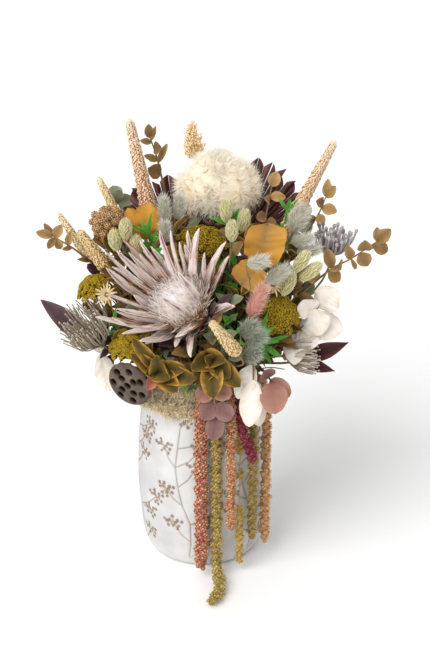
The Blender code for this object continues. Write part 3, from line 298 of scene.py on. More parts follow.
def bead():
    """A small round grain of twenty faces."""
    g = (1.0 + 5.0 ** 0.5) / 2.0
    v = np.array([(-1, g, 0), (1, g, 0), (-1, -g, 0), (1, -g, 0), (0, -1, g), (0, 1, g), (0, -1, -g),
                  (0, 1, -g), (g, 0, -1), (g, 0, 1), (-g, 0, -1), (-g, 0, 1)]) / math.hypot(1, g)
    f = np.array([(0, 11, 5), (0, 5, 1), (0, 1, 7), (0, 7, 10), (0, 10, 11), (1, 5, 9), (5, 11, 4),
                  (11, 10, 2), (10, 7, 6), (7, 1, 8), (3, 9, 4), (3, 4, 2), (3, 2, 6), (3, 6, 8),
                  (3, 8, 9), (4, 9, 5), (2, 4, 11), (6, 2, 10), (8, 6, 7), (9, 8, 1)])
    return v, f


def husk():
    """A small pointed seed of ten faces that stands along +Z from its root."""
    ring = [(math.cos(a), math.sin(a), 0.4) for a in np.arange(5) / 5.0 * math.tau]
    verts = np.array([(0.0, 0.0, -0.6)] + ring + [(0.0, 0.0, 1.0)])
    faces = [(0, (k + 1) % 5 + 1, k + 1) for k in range(5)] + [(6, k + 1, (k + 1) % 5 + 1) for k in range(5)]
    return verts, np.array(faces)


def ball_points(count, seed=0):
    """Evenly spread directions all round."""
    k = np.arange(count) + 0.5
    level = 1.0 - 2.0 * k / count
    turn = k * 2.39996 + seed
    flat = np.sqrt(1.0 - level * level)
    return np.stack([flat * np.cos(turn), flat * np.sin(turn), level], 1)


def frames_on(ways, spin=None):
    """For each direction, three square axes with the third along it."""
    ways = ways / (np.linalg.norm(ways, axis=1)[:, None] + 1e-12)
    hint = np.where(np.abs(ways[:, 2:3]) > 0.9, np.array([[1.0, 0.0, 0.0]]), np.array([[0.0, 0.0, 1.0]]))
    one = np.cross(hint, ways)
    one /= np.linalg.norm(one, axis=1)[:, None] + 1e-12
    two = np.cross(ways, one)
    if spin is not None:
        c, s = np.cos(spin)[:, None], np.sin(spin)[:, None]
        one, two = one * c + two * s, two * c - one * s
    return np.stack([one, two, ways], 1)


def strew(shape, spots, axes, sizes, along=0.5, out=None, seed=1):
    """Copies one small shape to many places, each turned to its own axes and sized."""
    verts, faces = shape
    count, each = len(spots), len(verts)
    sizes = np.asarray(sizes, float)
    if sizes.ndim == 1:
        sizes = np.repeat(sizes[:, None], 3, axis=1)
    made = np.einsum("nk,vk,nkc->nvc", sizes, verts, axes) + spots[:, None, :]
    tris = (faces[None] + (np.arange(count) * each)[:, None, None]).reshape(-1, 3)
    chance = np.random.default_rng(seed).random(count)
    lie = np.empty((count, each, 3))
    lie[..., 0] = np.broadcast_to(np.asarray(along, float).reshape(-1, 1), (count, 1))
    lie[..., 1] = np.clip(verts[:, 2] - verts[:, 2].min(), 0, None)[None] / max(np.ptp(verts[:, 2]), 1e-9)
    if out is not None:
        lie[..., 1] = out
    lie[..., 2] = chance[:, None]
    return made.reshape(-1, 3), tris, lie.reshape(-1, 3)


def through(knots, count):
    """Evenly shared points on a smooth line through knots, as the stems bend."""
    knots = np.asarray(knots, float)
    out = []
    for k in range(count + 1):
        place = k / count * (len(knots) - 1)
        i = min(int(place), len(knots) - 2)
        t = place - i
        a, b = knots[i], knots[i + 1]
        lead, tail = (b - knots[max(i - 1, 0)]) * 0.5, (knots[min(i + 2, len(knots) - 1)] - a) * 0.5
        out.append(a * (2 * t ** 3 - 3 * t * t + 1) + lead * (t ** 3 - 2 * t * t + t)
                   + b * (3 * t * t - 2 * t ** 3) + tail * (t ** 3 - t * t))
    return np.array(out)


def root_of(node):
    """Where a plant's stem leaves the foam and how it leans there, read from its solid."""
    spots = np.empty(len(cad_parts[node].data.vertices) * 3)
    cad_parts[node].data.vertices.foreach_get("co", spots)
    spots = spots.reshape(-1, 3)
    near = spots[(np.hypot(spots[:, 0], spots[:, 1]) < 0.056) & (spots[:, 2] > 0.205)]
    foot = near[np.argmin(near[:, 2])]
    root = foot.copy()
    for _ in range(12):
        lean = np.array([root[0] * 9.0, root[1] * 9.0, 1.0])
        lean /= np.linalg.norm(lean)
        root = np.array([foot[0] + lean[0] * 0.022, foot[1] + lean[1] * 0.022, FOAM_TOP])
    return root, lean


STRANDS = {
    "amaranth_rose": ((-0.0020, -0.0920), 0.0100, 0.0078, 0.012),
    "amaranth_olive": ((0.0160, -0.0890), 0.0000, 0.0068, 0.015),
    "amaranth_tan": ((0.0330, -0.1010), 0.0730, 0.0062, 0.022),
    "amaranth_beaded": ((0.0440, -0.0800), 0.0060, 0.0052, 0.014),
    "amaranth_burgundy": ((0.0690, -0.0850), 0.1410, 0.0062, 0.030),
    "amaranth_green": ((0.0595, -0.0690), 0.0400, 0.0062, 0.012),
    "amaranth_orange": ((0.0755, -0.0510), 0.0250, 0.0062, 0.014),
}
FLOWER_COLOURS = {
    "amaranth_rose": ((112, 56, 48), (172, 98, 84), (200, 142, 112), (222, 186, 142)),
    "amaranth_olive": ((104, 84, 40), (158, 134, 70), (186, 162, 94), (208, 186, 122)),
    "amaranth_tan": ((124, 62, 52), (178, 104, 84), (204, 158, 112), (226, 194, 144)),
    "amaranth_beaded": ((122, 94, 44), (178, 148, 80), (206, 178, 106), (226, 204, 142)),
    "amaranth_burgundy": ((66, 18, 30), (118, 42, 56), (150, 66, 80), (178, 108, 108)),
    "amaranth_green": ((100, 84, 42), (150, 128, 72), (180, 156, 94), (202, 180, 122)),
    "amaranth_orange": ((132, 86, 52), (190, 140, 94), (214, 172, 122), (232, 202, 156)),
}
TWIG = skin("dry_stem", [(0.1, (88, 66, 44)), (0.9, (150, 124, 84))], cloud=(120.0, 0.9))
for number, (name, (start, low, thick, lift)) in enumerate(STRANDS.items()):
    outward = np.array([start[0], start[1], 0.0])
    reach = np.linalg.norm(outward)
    outward /= reach
    root, lean = root_of(name)
    up = np.array([0.0, 0.0, 1.0])
    height = FOAM_TOP + lift
    knots = [root + lean * 0.004, outward * (reach - 0.020) + up * height,
             outward * (reach - 0.002) + up * (height - 0.016), outward * reach + up * 0.160,
             outward * reach + up * (max(low, 0.020) + 0.030), outward * reach + up * max(low, 0.012)]
    if name == "amaranth_olive":
        knots[-1] = (0.0165, -0.0930, 0.0160)
        knots += [(0.0200, -0.1250, 0.0085), (0.0080, -0.1600, 0.0080)]
    if name == "amaranth_burgundy":
        knots[1:] = [(0.0480, -0.0700, height), (0.0440, -0.0900, height - 0.024), (0.0460, -0.0965, 0.2080),
                     (0.0545, -0.0950, 0.1830), (0.0600, -0.0920, 0.1600)]
    line = through(knots, 120)
    steps = np.linalg.norm(np.diff(line, axis=0), axis=1)
    run = np.concatenate([[0.0], np.cumsum(steps)])
    draw = np.random.default_rng(300 + number)
    bare = [(0.44, 0.53), (0.57, 0.71)] if name == "amaranth_beaded" else []
    hubs, outs, sizes, shares = [], [], [], []
    thick = thick * 1.10
    count = int(run[-1] / 0.0018)
    for k in range(count):
        share = 0.12 + 0.872 * (k + draw.uniform(0.0, 1.0)) / count
        if any(a < share < b for a, b in bare):
            continue
        i = min(max(int(np.searchsorted(run, share * run[-1])) - 1, 0), len(line) - 2)
        way = (line[i + 1] - line[i]) / steps[i]
        one = unit(np.cross(way, (0.2, 0.9, 0.1)))
        turn = k * 2.39996 + draw.uniform(-0.3, 0.3)
        out = one * math.cos(turn) + np.cross(way, one) * math.sin(turn)
        taper = min(1.0, 0.66 + (1.0 - share) * 9.0) * min(1.0, 0.45 + (share - 0.10) * 5.0)
        place = share * run[-1]
        knob = 0.84 + 0.26 * math.sin(place / 0.0019 + 1.7 * math.sin(place / 0.0070) + number)
        hubs.append(line[i] + out * thick * taper * knob * 0.60)
        outs.append(out)
        sizes.append(thick * taper * draw.uniform(0.34, 0.44))
        shares.append(0.5 + 0.5 * math.sin(place / 0.0062 + 2.0 * number) * draw.uniform(0.3, 1.0))
    hubs, outs, sizes = np.array(hubs), np.array(outs), np.array(sizes)
    hubs[:, 2] = np.maximum(hubs[:, 2], sizes * 1.3)
    pips = ball_points(16, number)
    spots = hubs[:, None] + pips[None] * sizes[:, None, None]
    keep = (pips[None] * outs[:, None]).sum(-1) > -0.35
    spots[..., 2] = np.maximum(spots[..., 2], 0.0012)
    aims = np.broadcast_to(pips[None], spots.shape)[keep]
    grain = np.repeat(sizes[:, None], 16, 1)[keep] * draw.uniform(0.32, 0.50, keep.sum())
    # Painted shade: grains that face in towards the stem are coloured darker than those facing out, inside each lump.
    painted_lump_shade = (0.5 + 0.5 * (pips[None] * outs[:, None]).sum(-1))[keep]
    grown = strew(husk(), spots[keep], frames_on(aims), np.stack([grain, grain, grain * 1.1], 1),
                  np.repeat(np.array(shares)[:, None], 16, 1)[keep], None, number)
    grown[2][:, 1] = np.repeat(painted_lump_shade, 7)
    body = np.maximum(np.interp(np.linspace(0, 1, 121), [0, 0.12, 0.2, 0.95, 1.0],
                                [0.0011, 0.0012, thick * 0.5, thick * 0.45, 0.0004]), 0.0004)
    for a, b in bare:
        body[(np.linspace(0, 1, 121) > a) & (np.linspace(0, 1, 121) < b)] = 0.0007
    dark, mid, light, pale = FLOWER_COLOURS[name]
    bloom = skin(name + "_flowers", [(0.05, dark), (0.36, mid), (0.64, light), (1.0, pale)],
                 weigh=(0.30, 0.40, 0.16), cloud=(50.0, 0.30), rough=0.95, bump=(1800.0, 0.3))
    piece(name + "_strand", [
        tube(np.vstack([root - lean * 0.020, line]), np.append(0.0011, body), 8, (0.5, 0.1, 0.3)) + (0,),
        strew(bead(), hubs, frames_on(outs), sizes * 0.95, 0.5, 0.15, number) + (0,), grown + (0,),
    ], [bloom, TWIG], name)

# Shared ways to make plants: a thin sheet, a leaf, fine hairs, small seeds and a bent stem.
# Dried leaves are curled plates under 1 mm thick, and a stem runs from its hole in the foam.


def sheet(grid, thick, chance=0.5):
    """A grid of points made into a thin closed body that is thickest in the middle."""
    rows, cols = grid.shape[:2]
    normal = unit(np.cross(np.gradient(grid, axis=1), np.gradient(grid, axis=0)))
    x = np.linspace(-1.0, 1.0, cols)
    lift = normal * (thick * 0.5 * (1.0 - x ** 4))[None, :, None]
    ring = np.concatenate([grid + lift, (grid - lift)[:, -2:0:-1]], axis=1)
    wide = ring.shape[1]
    t = np.linspace(0.0, 1.0, rows)[:, None]
    out = np.abs(np.concatenate([x, x[-2:0:-1]]))[None, :]
    lie = np.stack([t + 0 * out, out + 0 * t, np.full((rows, wide), chance)], -1)
    count = rows * wide
    verts = np.vstack([ring.reshape(-1, 3), grid[0].mean(0), grid[-1].mean(0)])
    lies = np.vstack([lie.reshape(-1, 3), [0.0, 0.0, chance], [1.0, 0.0, chance]])
    k = np.arange(wide)
    start = np.stack([np.full(wide, count), (k + 1) % wide, k], 1)
    end = np.stack([np.full(wide, count + 1), count - wide + k, count - wide + (k + 1) % wide], 1)
    return verts, np.concatenate([grid_faces(rows, wide), start, end]), lies


def blade(base, tip, width, facing, seed=0, arch=0.12, cup=0.25, twist=0.0, wave=0.05, bias=1.0,
          blunt=0.8, thick=0.0005, rows=12, cols=7, curl=0.0, notch=0.0, rib=0.0004, vein=0.0001, ragged=0.0, fold=1.4):
    """One leaf from base to tip: arched, cupped at its midrib, waved at its edges."""
    draw = np.random.default_rng(seed)
    base, tip = np.asarray(base, float), np.asarray(tip, float)
    length = np.linalg.norm(tip - base)
    forward = (tip - base) / length
    side = unit(np.cross(forward, facing))
    up = np.cross(side, forward)
    t = np.linspace(0.0, 1.0, rows + 1)[:, None]
    x = np.linspace(-1.0, 1.0, cols + 1)[None, :]
    half = 0.5 * width * np.maximum(np.sin(math.pi * t ** bias), 0.0) ** blunt
    fray = np.sin(t * 19.0 + x + draw.uniform(0, 6)) + 0.7 * np.sin(t * 33.0 - 2 * x + draw.uniform(0, 6))
    half = np.maximum(half * (1.0 + ragged * fray), 0.0004)
    turn = twist * (t - 0.5)
    side_t = side * np.cos(turn)[..., None] + up * np.sin(turn)[..., None]
    up_t = up * np.cos(turn)[..., None] - side * np.sin(turn)[..., None]
    high = arch * length * np.sin(math.pi * t) - curl * length * t ** 3
    ripple = np.sin(t * 11.0 + draw.uniform(0, 6)) * (x > 0) + np.sin(t * 12.5 + draw.uniform(0, 6)) * (x < 0)
    lift = cup * half * np.abs(x) ** fold + wave * width * ripple * x ** 2 * np.sin(math.pi * t)
    lift = lift - rib * np.exp(-(x / 0.13) ** 2) * (half > 0.001)
    lift = lift + vein * np.sin(34.0 * t - 7.0 * np.abs(x) + 2.0 * np.sin(9.0 * t)) * (half > 0.003)
    along = length * t * (1.0 - notch * np.exp(-(x / 0.3) ** 2) * t ** 6)
    grid = (base + forward * along[..., None] + up * high[..., None]
            + side_t * (half * x)[..., None] + up_t * lift[..., None])
    return sheet(grid, thick, draw.random())


def hairs(roots, ways, lengths, radii, bends=None, steps=2, seed=1, along=None):
    """Many thin tapered hairs of three sides, each bent by its own offset at the tip."""
    roots, ways = np.asarray(roots, float), unit(ways)
    count = len(roots)
    lengths = np.broadcast_to(np.asarray(lengths, float), (count,))
    radii = np.broadcast_to(np.asarray(radii, float), (count,))
    bends = np.zeros((count, 3)) if bends is None else bends
    axes = frames_on(ways)
    rings = []
    for k in range(steps):
        s = k / steps
        spine = roots + ways * (lengths * s)[:, None] + bends * (s * s)
        for j in range(3):
            turn = j * math.tau / 3.0
            out = axes[:, 0] * math.cos(turn) + axes[:, 1] * math.sin(turn)
            rings.append(spine + out * (radii * (1.0 - 0.6 * s))[:, None])
    rings.append(roots + ways * lengths[:, None] + bends)
    verts = np.stack(rings, 1)
    each = verts.shape[1]
    one = [(0, 2, 1)]
    for k in range(steps - 1):
        for j in range(3):
            a, b = 3 * k + j, 3 * k + (j + 1) % 3
            one += [(a, b, b + 3), (a, b + 3, a + 3)]
    top = 3 * (steps - 1)
    one += [(top + j, top + (j + 1) % 3, each - 1) for j in range(3)]
    tris = (np.array(one)[None] + (np.arange(count) * each)[:, None, None]).reshape(-1, 3)
    lie = np.empty((count, each, 3))
    lie[..., 0] = 0.5 if along is None else np.asarray(along)[:, None]
    lie[..., 1] = np.append(np.repeat(np.arange(steps) / steps, 3), 1.0)[None]
    lie[..., 2] = np.random.default_rng(seed).random(count)[:, None]
    return verts.reshape(-1, 3), tris, lie.reshape(-1, 3)


def floret():
    """A tiny open flower with five petals round a raised middle."""
    ring = [((1.0 if k % 2 else 0.55) * math.cos(a), (1.0 if k % 2 else 0.55) * math.sin(a),
             0.35 if k % 2 else 0.05) for k, a in enumerate(np.arange(10) / 10.0 * math.tau)]
    verts = np.array([(0.0, 0.0, -0.9)] + ring + [(0.0, 0.0, 0.45)])
    faces = [(0, (k + 1) % 10 + 1, k + 1) for k in range(10)]
    faces += [(11, k + 1, (k + 1) % 10 + 1) for k in range(10)]
    return verts, np.array(faces)


def axes_to(way, facing=(0.0, -1.0, 0.3)):
    """Three square axes as rows, the third along a way."""
    way = unit(way)
    side = unit(np.cross(way, facing))
    return np.stack([side, np.cross(side, way), way])


def stalk(node, head, way, radius, steps=12, more=()):
    """A plant's stem from its hole in the foam, bent over to its head and on through a twig."""
    root, lean = root_of(node)
    first, last = root + lean * 0.004, np.asarray(head, float)
    length = np.linalg.norm(last - first)
    t = np.linspace(0.0, 1.0, steps)[:, None]
    s = 1.0 - t
    bend = (first * s ** 3 + (first + lean * length * 0.35) * 3 * s * s * t
            + (last - unit(way) * length * 0.35) * 3 * s * t * t + last * t ** 3)
    line = np.vstack([root - lean * 0.0215, bend] + [np.atleast_2d(spot) for spot in more])
    radii = np.full(len(line), radius)
    if len(more):
        radii[-len(more):] = np.linspace(radius, 0.0007, len(more))
    return tube(line, radii, 6)


# Millet: six dried foxtail spikes. Each is a straight stalk packed so closely with round grains that
# it looks like one rough rod, with a few thin bristles between the grains.
MILLETS = {
    "millet_peach": ((-0.0534, 0.0120, 0.3928), (-0.15, 0.10, 1.0), 0.0016, (-0.0837, 0.0300, 0.5412), 0.0200,
                     ((160, 112, 80), (220, 176, 138), (238, 204, 170), (250, 232, 212))),
    "millet_yellow": ((-0.0905, 0.0270, 0.4035), (-0.45, 0.10, 1.0), 0.0012, (-0.1213, 0.0350, 0.4690), 0.0130,
                      ((176, 136, 84), (222, 190, 136), (238, 216, 168), (250, 238, 206))),
    "millet_far_left": ((-0.1288, -0.0050, 0.3796), (-0.60, 0.05, 1.0), 0.0012, (-0.1664, 0.0000, 0.4380), 0.0120,
                        ((176, 140, 90), (224, 196, 144), (242, 224, 180), (252, 242, 214))),
    "millet_near_left": ((-0.1060, -0.0350, 0.3798), (-0.55, -0.15, 1.0), 0.0013, (-0.1389, -0.0450, 0.4343),
                         0.0175, ((160, 120, 66), (206, 172, 112), (228, 200, 144), (244, 226, 180))),
    "millet_right": ((0.0936, 0.0050, 0.4082), (0.42, 0.15, 1.0), 0.0016, (0.1524, 0.0300, 0.5156), 0.0172,
                     ((186, 128, 78), (220, 184, 142), (236, 212, 178), (250, 238, 218))),
    "millet_front": ((0.0399, -0.1350, 0.3240), (-0.50, -0.30, 0.75), 0.0012, (0.0102, -0.1500, 0.3700), 0.0158,
                     ((176, 134, 80), (218, 184, 130), (234, 208, 160), (248, 232, 198))),
}
for number, (name, (head, way, radius, tip, width, colours)) in enumerate(MILLETS.items()):
    draw = np.random.default_rng(60 + number)
    head, tip = np.array(head), np.array(tip)
    long = np.linalg.norm(tip - head)
    axes = axes_to(tip - head)
    count = int(long * width * 0.55e6)
    share = (np.arange(count) + draw.uniform(0.1, 0.9, count)) / count
    swell = np.minimum(1.0, ((share + 0.015) / 0.10) ** 0.6) * (1.0 - 0.50 * np.maximum(0.0, share - 0.25) / 0.75)
    swell = swell * np.sqrt(np.clip((1.004 - share) / 0.05, 0.02, 1.0))
    turn = np.arange(count) * 2.39996 + draw.uniform(-0.2, 0.2, count)
    out = axes[0] * np.cos(turn)[:, None] + axes[1] * np.sin(turn)[:, None]
    lump = 1.0 + 0.06 * np.sin(turn * 3.0 + share * long / 0.0011) + draw.uniform(-0.05, 0.03, count)
    hubs = head + axes[2] * (long * share)[:, None] + out * (width * 0.5 * swell * lump - 0.0006)[:, None]
    lean = unit(out + axes[2] * 0.45 + draw.normal(size=out.shape) * 0.12)
    sizes = draw.uniform(0.00090, 0.00130, count) * (0.8 + 0.012 / 0.018 * 0.3)
    grains = strew(husk(), hubs, frames_on(lean, turn), np.stack([sizes, sizes, sizes * 1.15], 1),
                   1.0 - share, None, number)
    some = draw.random(count) < 0.12
    bristles = hairs(hubs[some], unit(out[some] + axes[2] * 0.9), width * 0.17, 0.00011, None, 2, number, 1.0 - share[some])
    core = np.linspace(0.0, 1.0, 24)
    body = np.minimum(1.0, ((core + 0.01) / 0.10) ** 0.6) * (1.0 - 0.5 * np.maximum(0.0, core - 0.25) / 0.75)
    body = body * np.sqrt(np.clip((1.0 - core) / 0.05, 0.02, 1.0)) * width * 0.5 - 0.0010
    rod = tube(head + (tip - head) * core[:, None], np.maximum(body, 0.0006), 14, (0.6, 0.0, 0.1))
    dark, mid, light, pale = colours
    grain = skin(name + "_grains", [(0.02, dark), (0.30, mid), (0.58, light), (0.95, pale)],
                 weigh=(-0.20, 0.36, 0.40), cloud=(210.0, 0.36), rough=0.8, bump=(1500.0, 0.25))
    piece(name + "_spike", [stalk(name, head, way, radius, more=[head + axes[2] * 0.01]) + (1,), rod + (0,),
                            grains + (0,), bristles + (0,)], [grain, TWIG], name)

# The peach plume behind the thistle: a feather of fine grass spikelets that all sweep upward.
# Each spikelet is a thin hair with a few narrow husks.
head, tip = np.array([-0.0092, 0.0980, 0.4690]), np.array([-0.0137, 0.1000, 0.5180])
axes = axes_to(tip - head)
draw = np.random.default_rng(9)
share = draw.uniform(-0.02, 0.86, 420)
turn = draw.uniform(0.0, math.tau, 420)
out = axes[0] * np.cos(turn)[:, None] + axes[1] * np.sin(turn)[:, None]
reach = 0.0115 * np.clip(1.15 - share, 0.2, 1.0) * np.clip((share + 0.1) * 7.0, 0.45, 1.0)
feet = head + axes[2] * (0.049 * share)[:, None] + out * (reach * draw.uniform(0.15, 0.8, 420))[:, None]
ways = unit(axes[2] + out * draw.uniform(0.25, 0.75, 420)[:, None])
lengths = draw.uniform(0.008, 0.016, 420) * np.clip(1.3 - share, 0.45, 1.0)
husks = feet + ways * (lengths * draw.uniform(0.3, 0.9, 420))[:, None]
PEACH = skin("plume_fluff", [(0.05, (238, 192, 128)), (0.35, (250, 216, 160)), (1.0, (255, 240, 206))],
             weigh=(0.1, 0.5, 0.4), cloud=(90.0, 0.25), rough=0.9)
piece("plume_feather", [
    stalk("plume", head, (-0.08, 0.05, 1.0), 0.0014, more=[head + axes[2] * 0.03]) + (1,),
    hairs(feet, ways, lengths, 0.00030, out * 0.002, 3, 3, share) + (0,),
    strew(husk(), husks, frames_on(ways), np.stack([np.full(420, 0.00105)] * 2 + [lengths * 0.26], 1)) + (0,),
    tube(np.linspace(head, tip, 8), [0.002, 0.0024, 0.0022, 0.002, 0.0016, 0.0012, 0.0008, 0.0004], 9) + (0,),
], [PEACH, TWIG], "plume")

# Palm leaves: dried fans, dyed a dark maroon. Each rib is a folded strip that stays joined to the
# next near the stalk and stands apart towards its trimmed end.
# The maroon is the dye. The ramp also makes the middle of each rib, its crest, lighter and its folded edges darker: a
# painted highlight along the crests and painted shade in the valleys.
PALM_DYE_AND_CREST_LIGHT = skin("dyed_palm_crest_light", [(0.05, (44, 20, 20)), (0.40, (84, 44, 42)), (0.72, (120, 76, 72)),
                            (1.0, (166, 126, 120))], weigh=(0.08, -0.26, 0.36), cloud=(150.0, 0.40),
              rough=0.6, bump=(700.0, 0.3), spec=0.35, streak=(0.5, 1.5, 9.0))
PALMS = {
    "palm_left": ((-0.0340, 0.0620, 0.3750), (-0.25, 0.40, 1.0), (-0.42, 0.35, 1.0), (0.0, -1.0, 0.3), 0.094, 0.80, 12),
    "palm_right": ((0.0430, 0.0680, 0.3750), (0.25, 0.45, 1.0), (0.32, 0.45, 1.0), (0.0, -1.0, 0.3), 0.114, 0.85, 21),
    "palm_back": ((0.0050, 0.0850, 0.3350), (0.0, 0.80, 1.0), (0.0, 0.85, 1.0), (0.0, -1.0, 0.9), 0.095, 0.95, 18),
}
for number, (name, (head, way, along, facing, reach, spread, ribs)) in enumerate(PALMS.items()):
    draw = np.random.default_rng(80 + number)
    axes = axes_to(along, facing)
    side, up, forward = axes
    base = np.array(head) - forward * 0.006
    parts = [stalk(name, head, way, 0.0018, more=[np.array(head) + forward * 0.004]) + (0,)]
    for k in range(ribs):
        middle = (k + 0.5) / ribs * 2.0 - 1.0
        half = 1.0 / ribs
        long = reach * (1.0 - 0.18 * middle ** 2) * draw.uniform(0.90, 1.0)
        t = np.linspace(0.0, 1.0, 9)[:, None]
        x = np.linspace(-1.0, 1.0, 7)[None, :]
        split = draw.uniform(0.0, 0.10) if k % 6 else 0.28
        narrow = 1.02 - split * np.clip((t - 0.55) / 0.45, 0.0, 1.0)
        angle = (middle + half * x * narrow + draw.uniform(-0.10, 0.10) * half * t ** 3) * spread
        ends = long * (1.0 - 0.04 * (1.0 + x * (-1.0) ** k) * (t > 0.95))
        radius = 0.006 + (ends - 0.006) * t
        fold = reach * spread / ribs * 1.5 * t * (0.5 - np.abs(x)) * narrow + 0.002 * t * math.cos(middle * 19.0)
        bend = draw.uniform(-0.002, 0.003) * t ** 2
        grid = (base + forward * (radius * np.cos(angle))[..., None] + side * (radius * np.sin(angle))[..., None]
                + up * (fold + bend)[..., None])
        parts.append(sheet(grid, 0.0008, draw.random()) + (0,))
    piece(name + "_fan", parts, [PALM_DYE_AND_CREST_LIGHT], name)

# The thistle head: a dried cardoon. A cup of pointed scales holds a broad ball of silky down with
# curved ivory strands, and its lower edge is darker where the outer bristles have gone brown.
head = np.array([0.0160, 0.0350, 0.4000])
axes = axes_to((0.03, 0.02, 1.0))
LEVELS = np.array([(0.022, 0.010), (0.026, 0.024), (0.034, 0.040), (0.046, 0.0505), (0.062, 0.0505),
                   (0.078, 0.0430), (0.092, 0.0290), (0.100, 0.0130), (0.1022, 0.0)])


def on_ball(share, turn, keep=1.0):
    """A point and the way out of the down ball, from its foot (0) to its top (1)."""
    place = np.interp(share, np.linspace(0, 1, 60), np.linspace(0, 1, 60)) * (len(LEVELS) - 1)
    high = np.interp(place, np.arange(len(LEVELS)), LEVELS[:, 0])
    wide = np.interp(place, np.arange(len(LEVELS)), LEVELS[:, 1])
    flat = np.stack([np.cos(turn), np.sin(turn) * 0.84], -1)
    spot = (head + axes[2] * (0.060 + (high - 0.060) * keep)[:, None]
            + np.concatenate([flat * (wide * keep)[:, None], np.zeros((len(flat), 1))], 1))
    centre = head + axes[2] * 0.058
    return spot, unit((spot - centre) * (1.0, 1.4, 1.0))


draw = np.random.default_rng(12)
tufts, each = 210, 26
share = draw.uniform(0.02, 1.0, tufts * 4)
around = np.interp(share, np.linspace(0, 1, len(LEVELS)), LEVELS[:, 1]) / LEVELS[:, 1].max()
share = share[draw.random(tufts * 4) < around + 0.04][:tufts]
turn = draw.uniform(0, math.tau, tufts)
feet, outs = on_ball(share, turn, 0.80)
reach = np.linalg.norm(feet - head - axes[2] * 0.058, axis=1)
across = frames_on(outs)
fan = draw.normal(size=(tufts, each, 2)) * 0.55
flare = across[:, None, 0] * fan[..., :1] + across[:, None, 1] * fan[..., 1:]
ways = (outs[:, None] + flare + axes[2] * 0.12).reshape(-1, 3)
lengths = (reach[:, None] * draw.uniform(0.25, 0.44, (tufts, each))).ravel()
down = hairs(np.repeat(feet, each, 0), ways, lengths, draw.uniform(0.00030, 0.00052, tufts * each),
             flare.reshape(-1, 3) * 0.006, 2, 5, np.repeat(share, each))
levels = np.linspace(0.0, 1.0, 30)
t, a = np.meshgrid(levels, np.arange(40) / 40.0 * math.tau, indexing="ij")
spots, _ = on_ball(t.ravel(), a.ravel(), 0.86)
lumpy = spots + unit(spots - head - axes[2] * 0.058) * (0.0012 * np.sin(a * 11 + t * 23))[..., None].reshape(-1, 1)
k = np.arange(40)
low, high = np.full(40, 1200), np.full(40, 1201)
core = (np.vstack([lumpy, lumpy[:40].mean(0), lumpy[-40:].mean(0)]),
        np.concatenate([grid_faces(30, 40), np.stack([low, (k + 1) % 40, k], 1),
                        np.stack([high, 1160 + k, 1160 + (k + 1) % 40], 1)]),
        np.vstack([np.stack([t.ravel(), 0 * t.ravel(), 0 * t.ravel() + 0.4], 1), [[0, 0, 0.4], [1, 0, 0.4]]]))
count = 700
turn = draw.uniform(0, math.tau, count)
feet, outs = on_ball(draw.uniform(0.05, 0.22, count), turn, 0.93)
fringe = hairs(feet, unit(outs + axes[2] * draw.uniform(-0.5, 0.8, count)[:, None]), draw.uniform(0.007, 0.014, count),
               0.0003, None, 2, 7)
parts = [stalk("cardoon", head, (0.03, 0.02, 1.0), 0.0035, more=[head + axes[2] * 0.006]) + (2,),
         tube(head + axes[2] * np.array([0.0, 0.004, 0.012, 0.024, 0.034, 0.040])[:, None],
              [0.003, 0.010, 0.020, 0.0245, 0.0225, 0.012], 20) + (1,)]
for row in range(5):
    for j in range(13):
        a = (j + 0.5 * (row % 2)) / 13.0 * math.tau
        out = axes[0] * math.cos(a) + axes[1] * math.sin(a)
        low = head + axes[2] * (0.003 + 0.0062 * row) + out * np.interp(row, [0, 1, 2, 3, 4], [0.010, 0.017, 0.022, 0.0235, 0.0225])
        tip = low + unit(axes[2] * (0.5 + 0.25 * row) + out) * (0.017 - 0.0012 * row)
        parts.append(blade(low, tip, 0.0105, axes[2] - out * 0.3, row * 20 + j, -0.10, 0.35, rows=6, cols=4) + (1,))
for j in range(6):
    a = j * math.pi / 3.0 + 0.3
    out = np.array([math.cos(a), math.sin(a), 0.0])
    low = head + axes[2] * 0.008 + out * 0.011
    parts.append(blade(low, head + axes[2] * (0.014 + 0.004 * (j % 2)) + out * 0.038, 0.016, axes[2], j, 0.08, 0.25) + (1,))
IVORY = skin("thistle_down", [(0.08, (214, 180, 146)), (0.24, (240, 220, 192)), (0.42, (252, 242, 222)),
                              (0.7, (255, 251, 238))], weigh=(0.30, 0.40, 0.12), cloud=(45.0, 0.20), rough=0.95,
             bump=(1600.0, 0.4))
SCALES = skin("thistle_scales", [(0.1, (66, 44, 40)), (0.5, (118, 86, 66)), (1.0, (178, 148, 112))],
              weigh=(0.5, 0.2, 0.2), cloud=(120.0, 0.4))
PLUM_BRISTLE = skin("thistle_fringe", [(0.1, (70, 40, 46)), (0.6, (128, 92, 88)), (1.0, (206, 180, 156))],
                    weigh=(0.0, 0.6, 0.4), cloud=(80.0, 0.2), rough=0.9)
piece("cardoon_head", [core + (0,), down + (0,), fringe + (3,)] + parts,
      [IVORY, SCALES, TWIG, PLUM_BRISTLE], "cardoon")

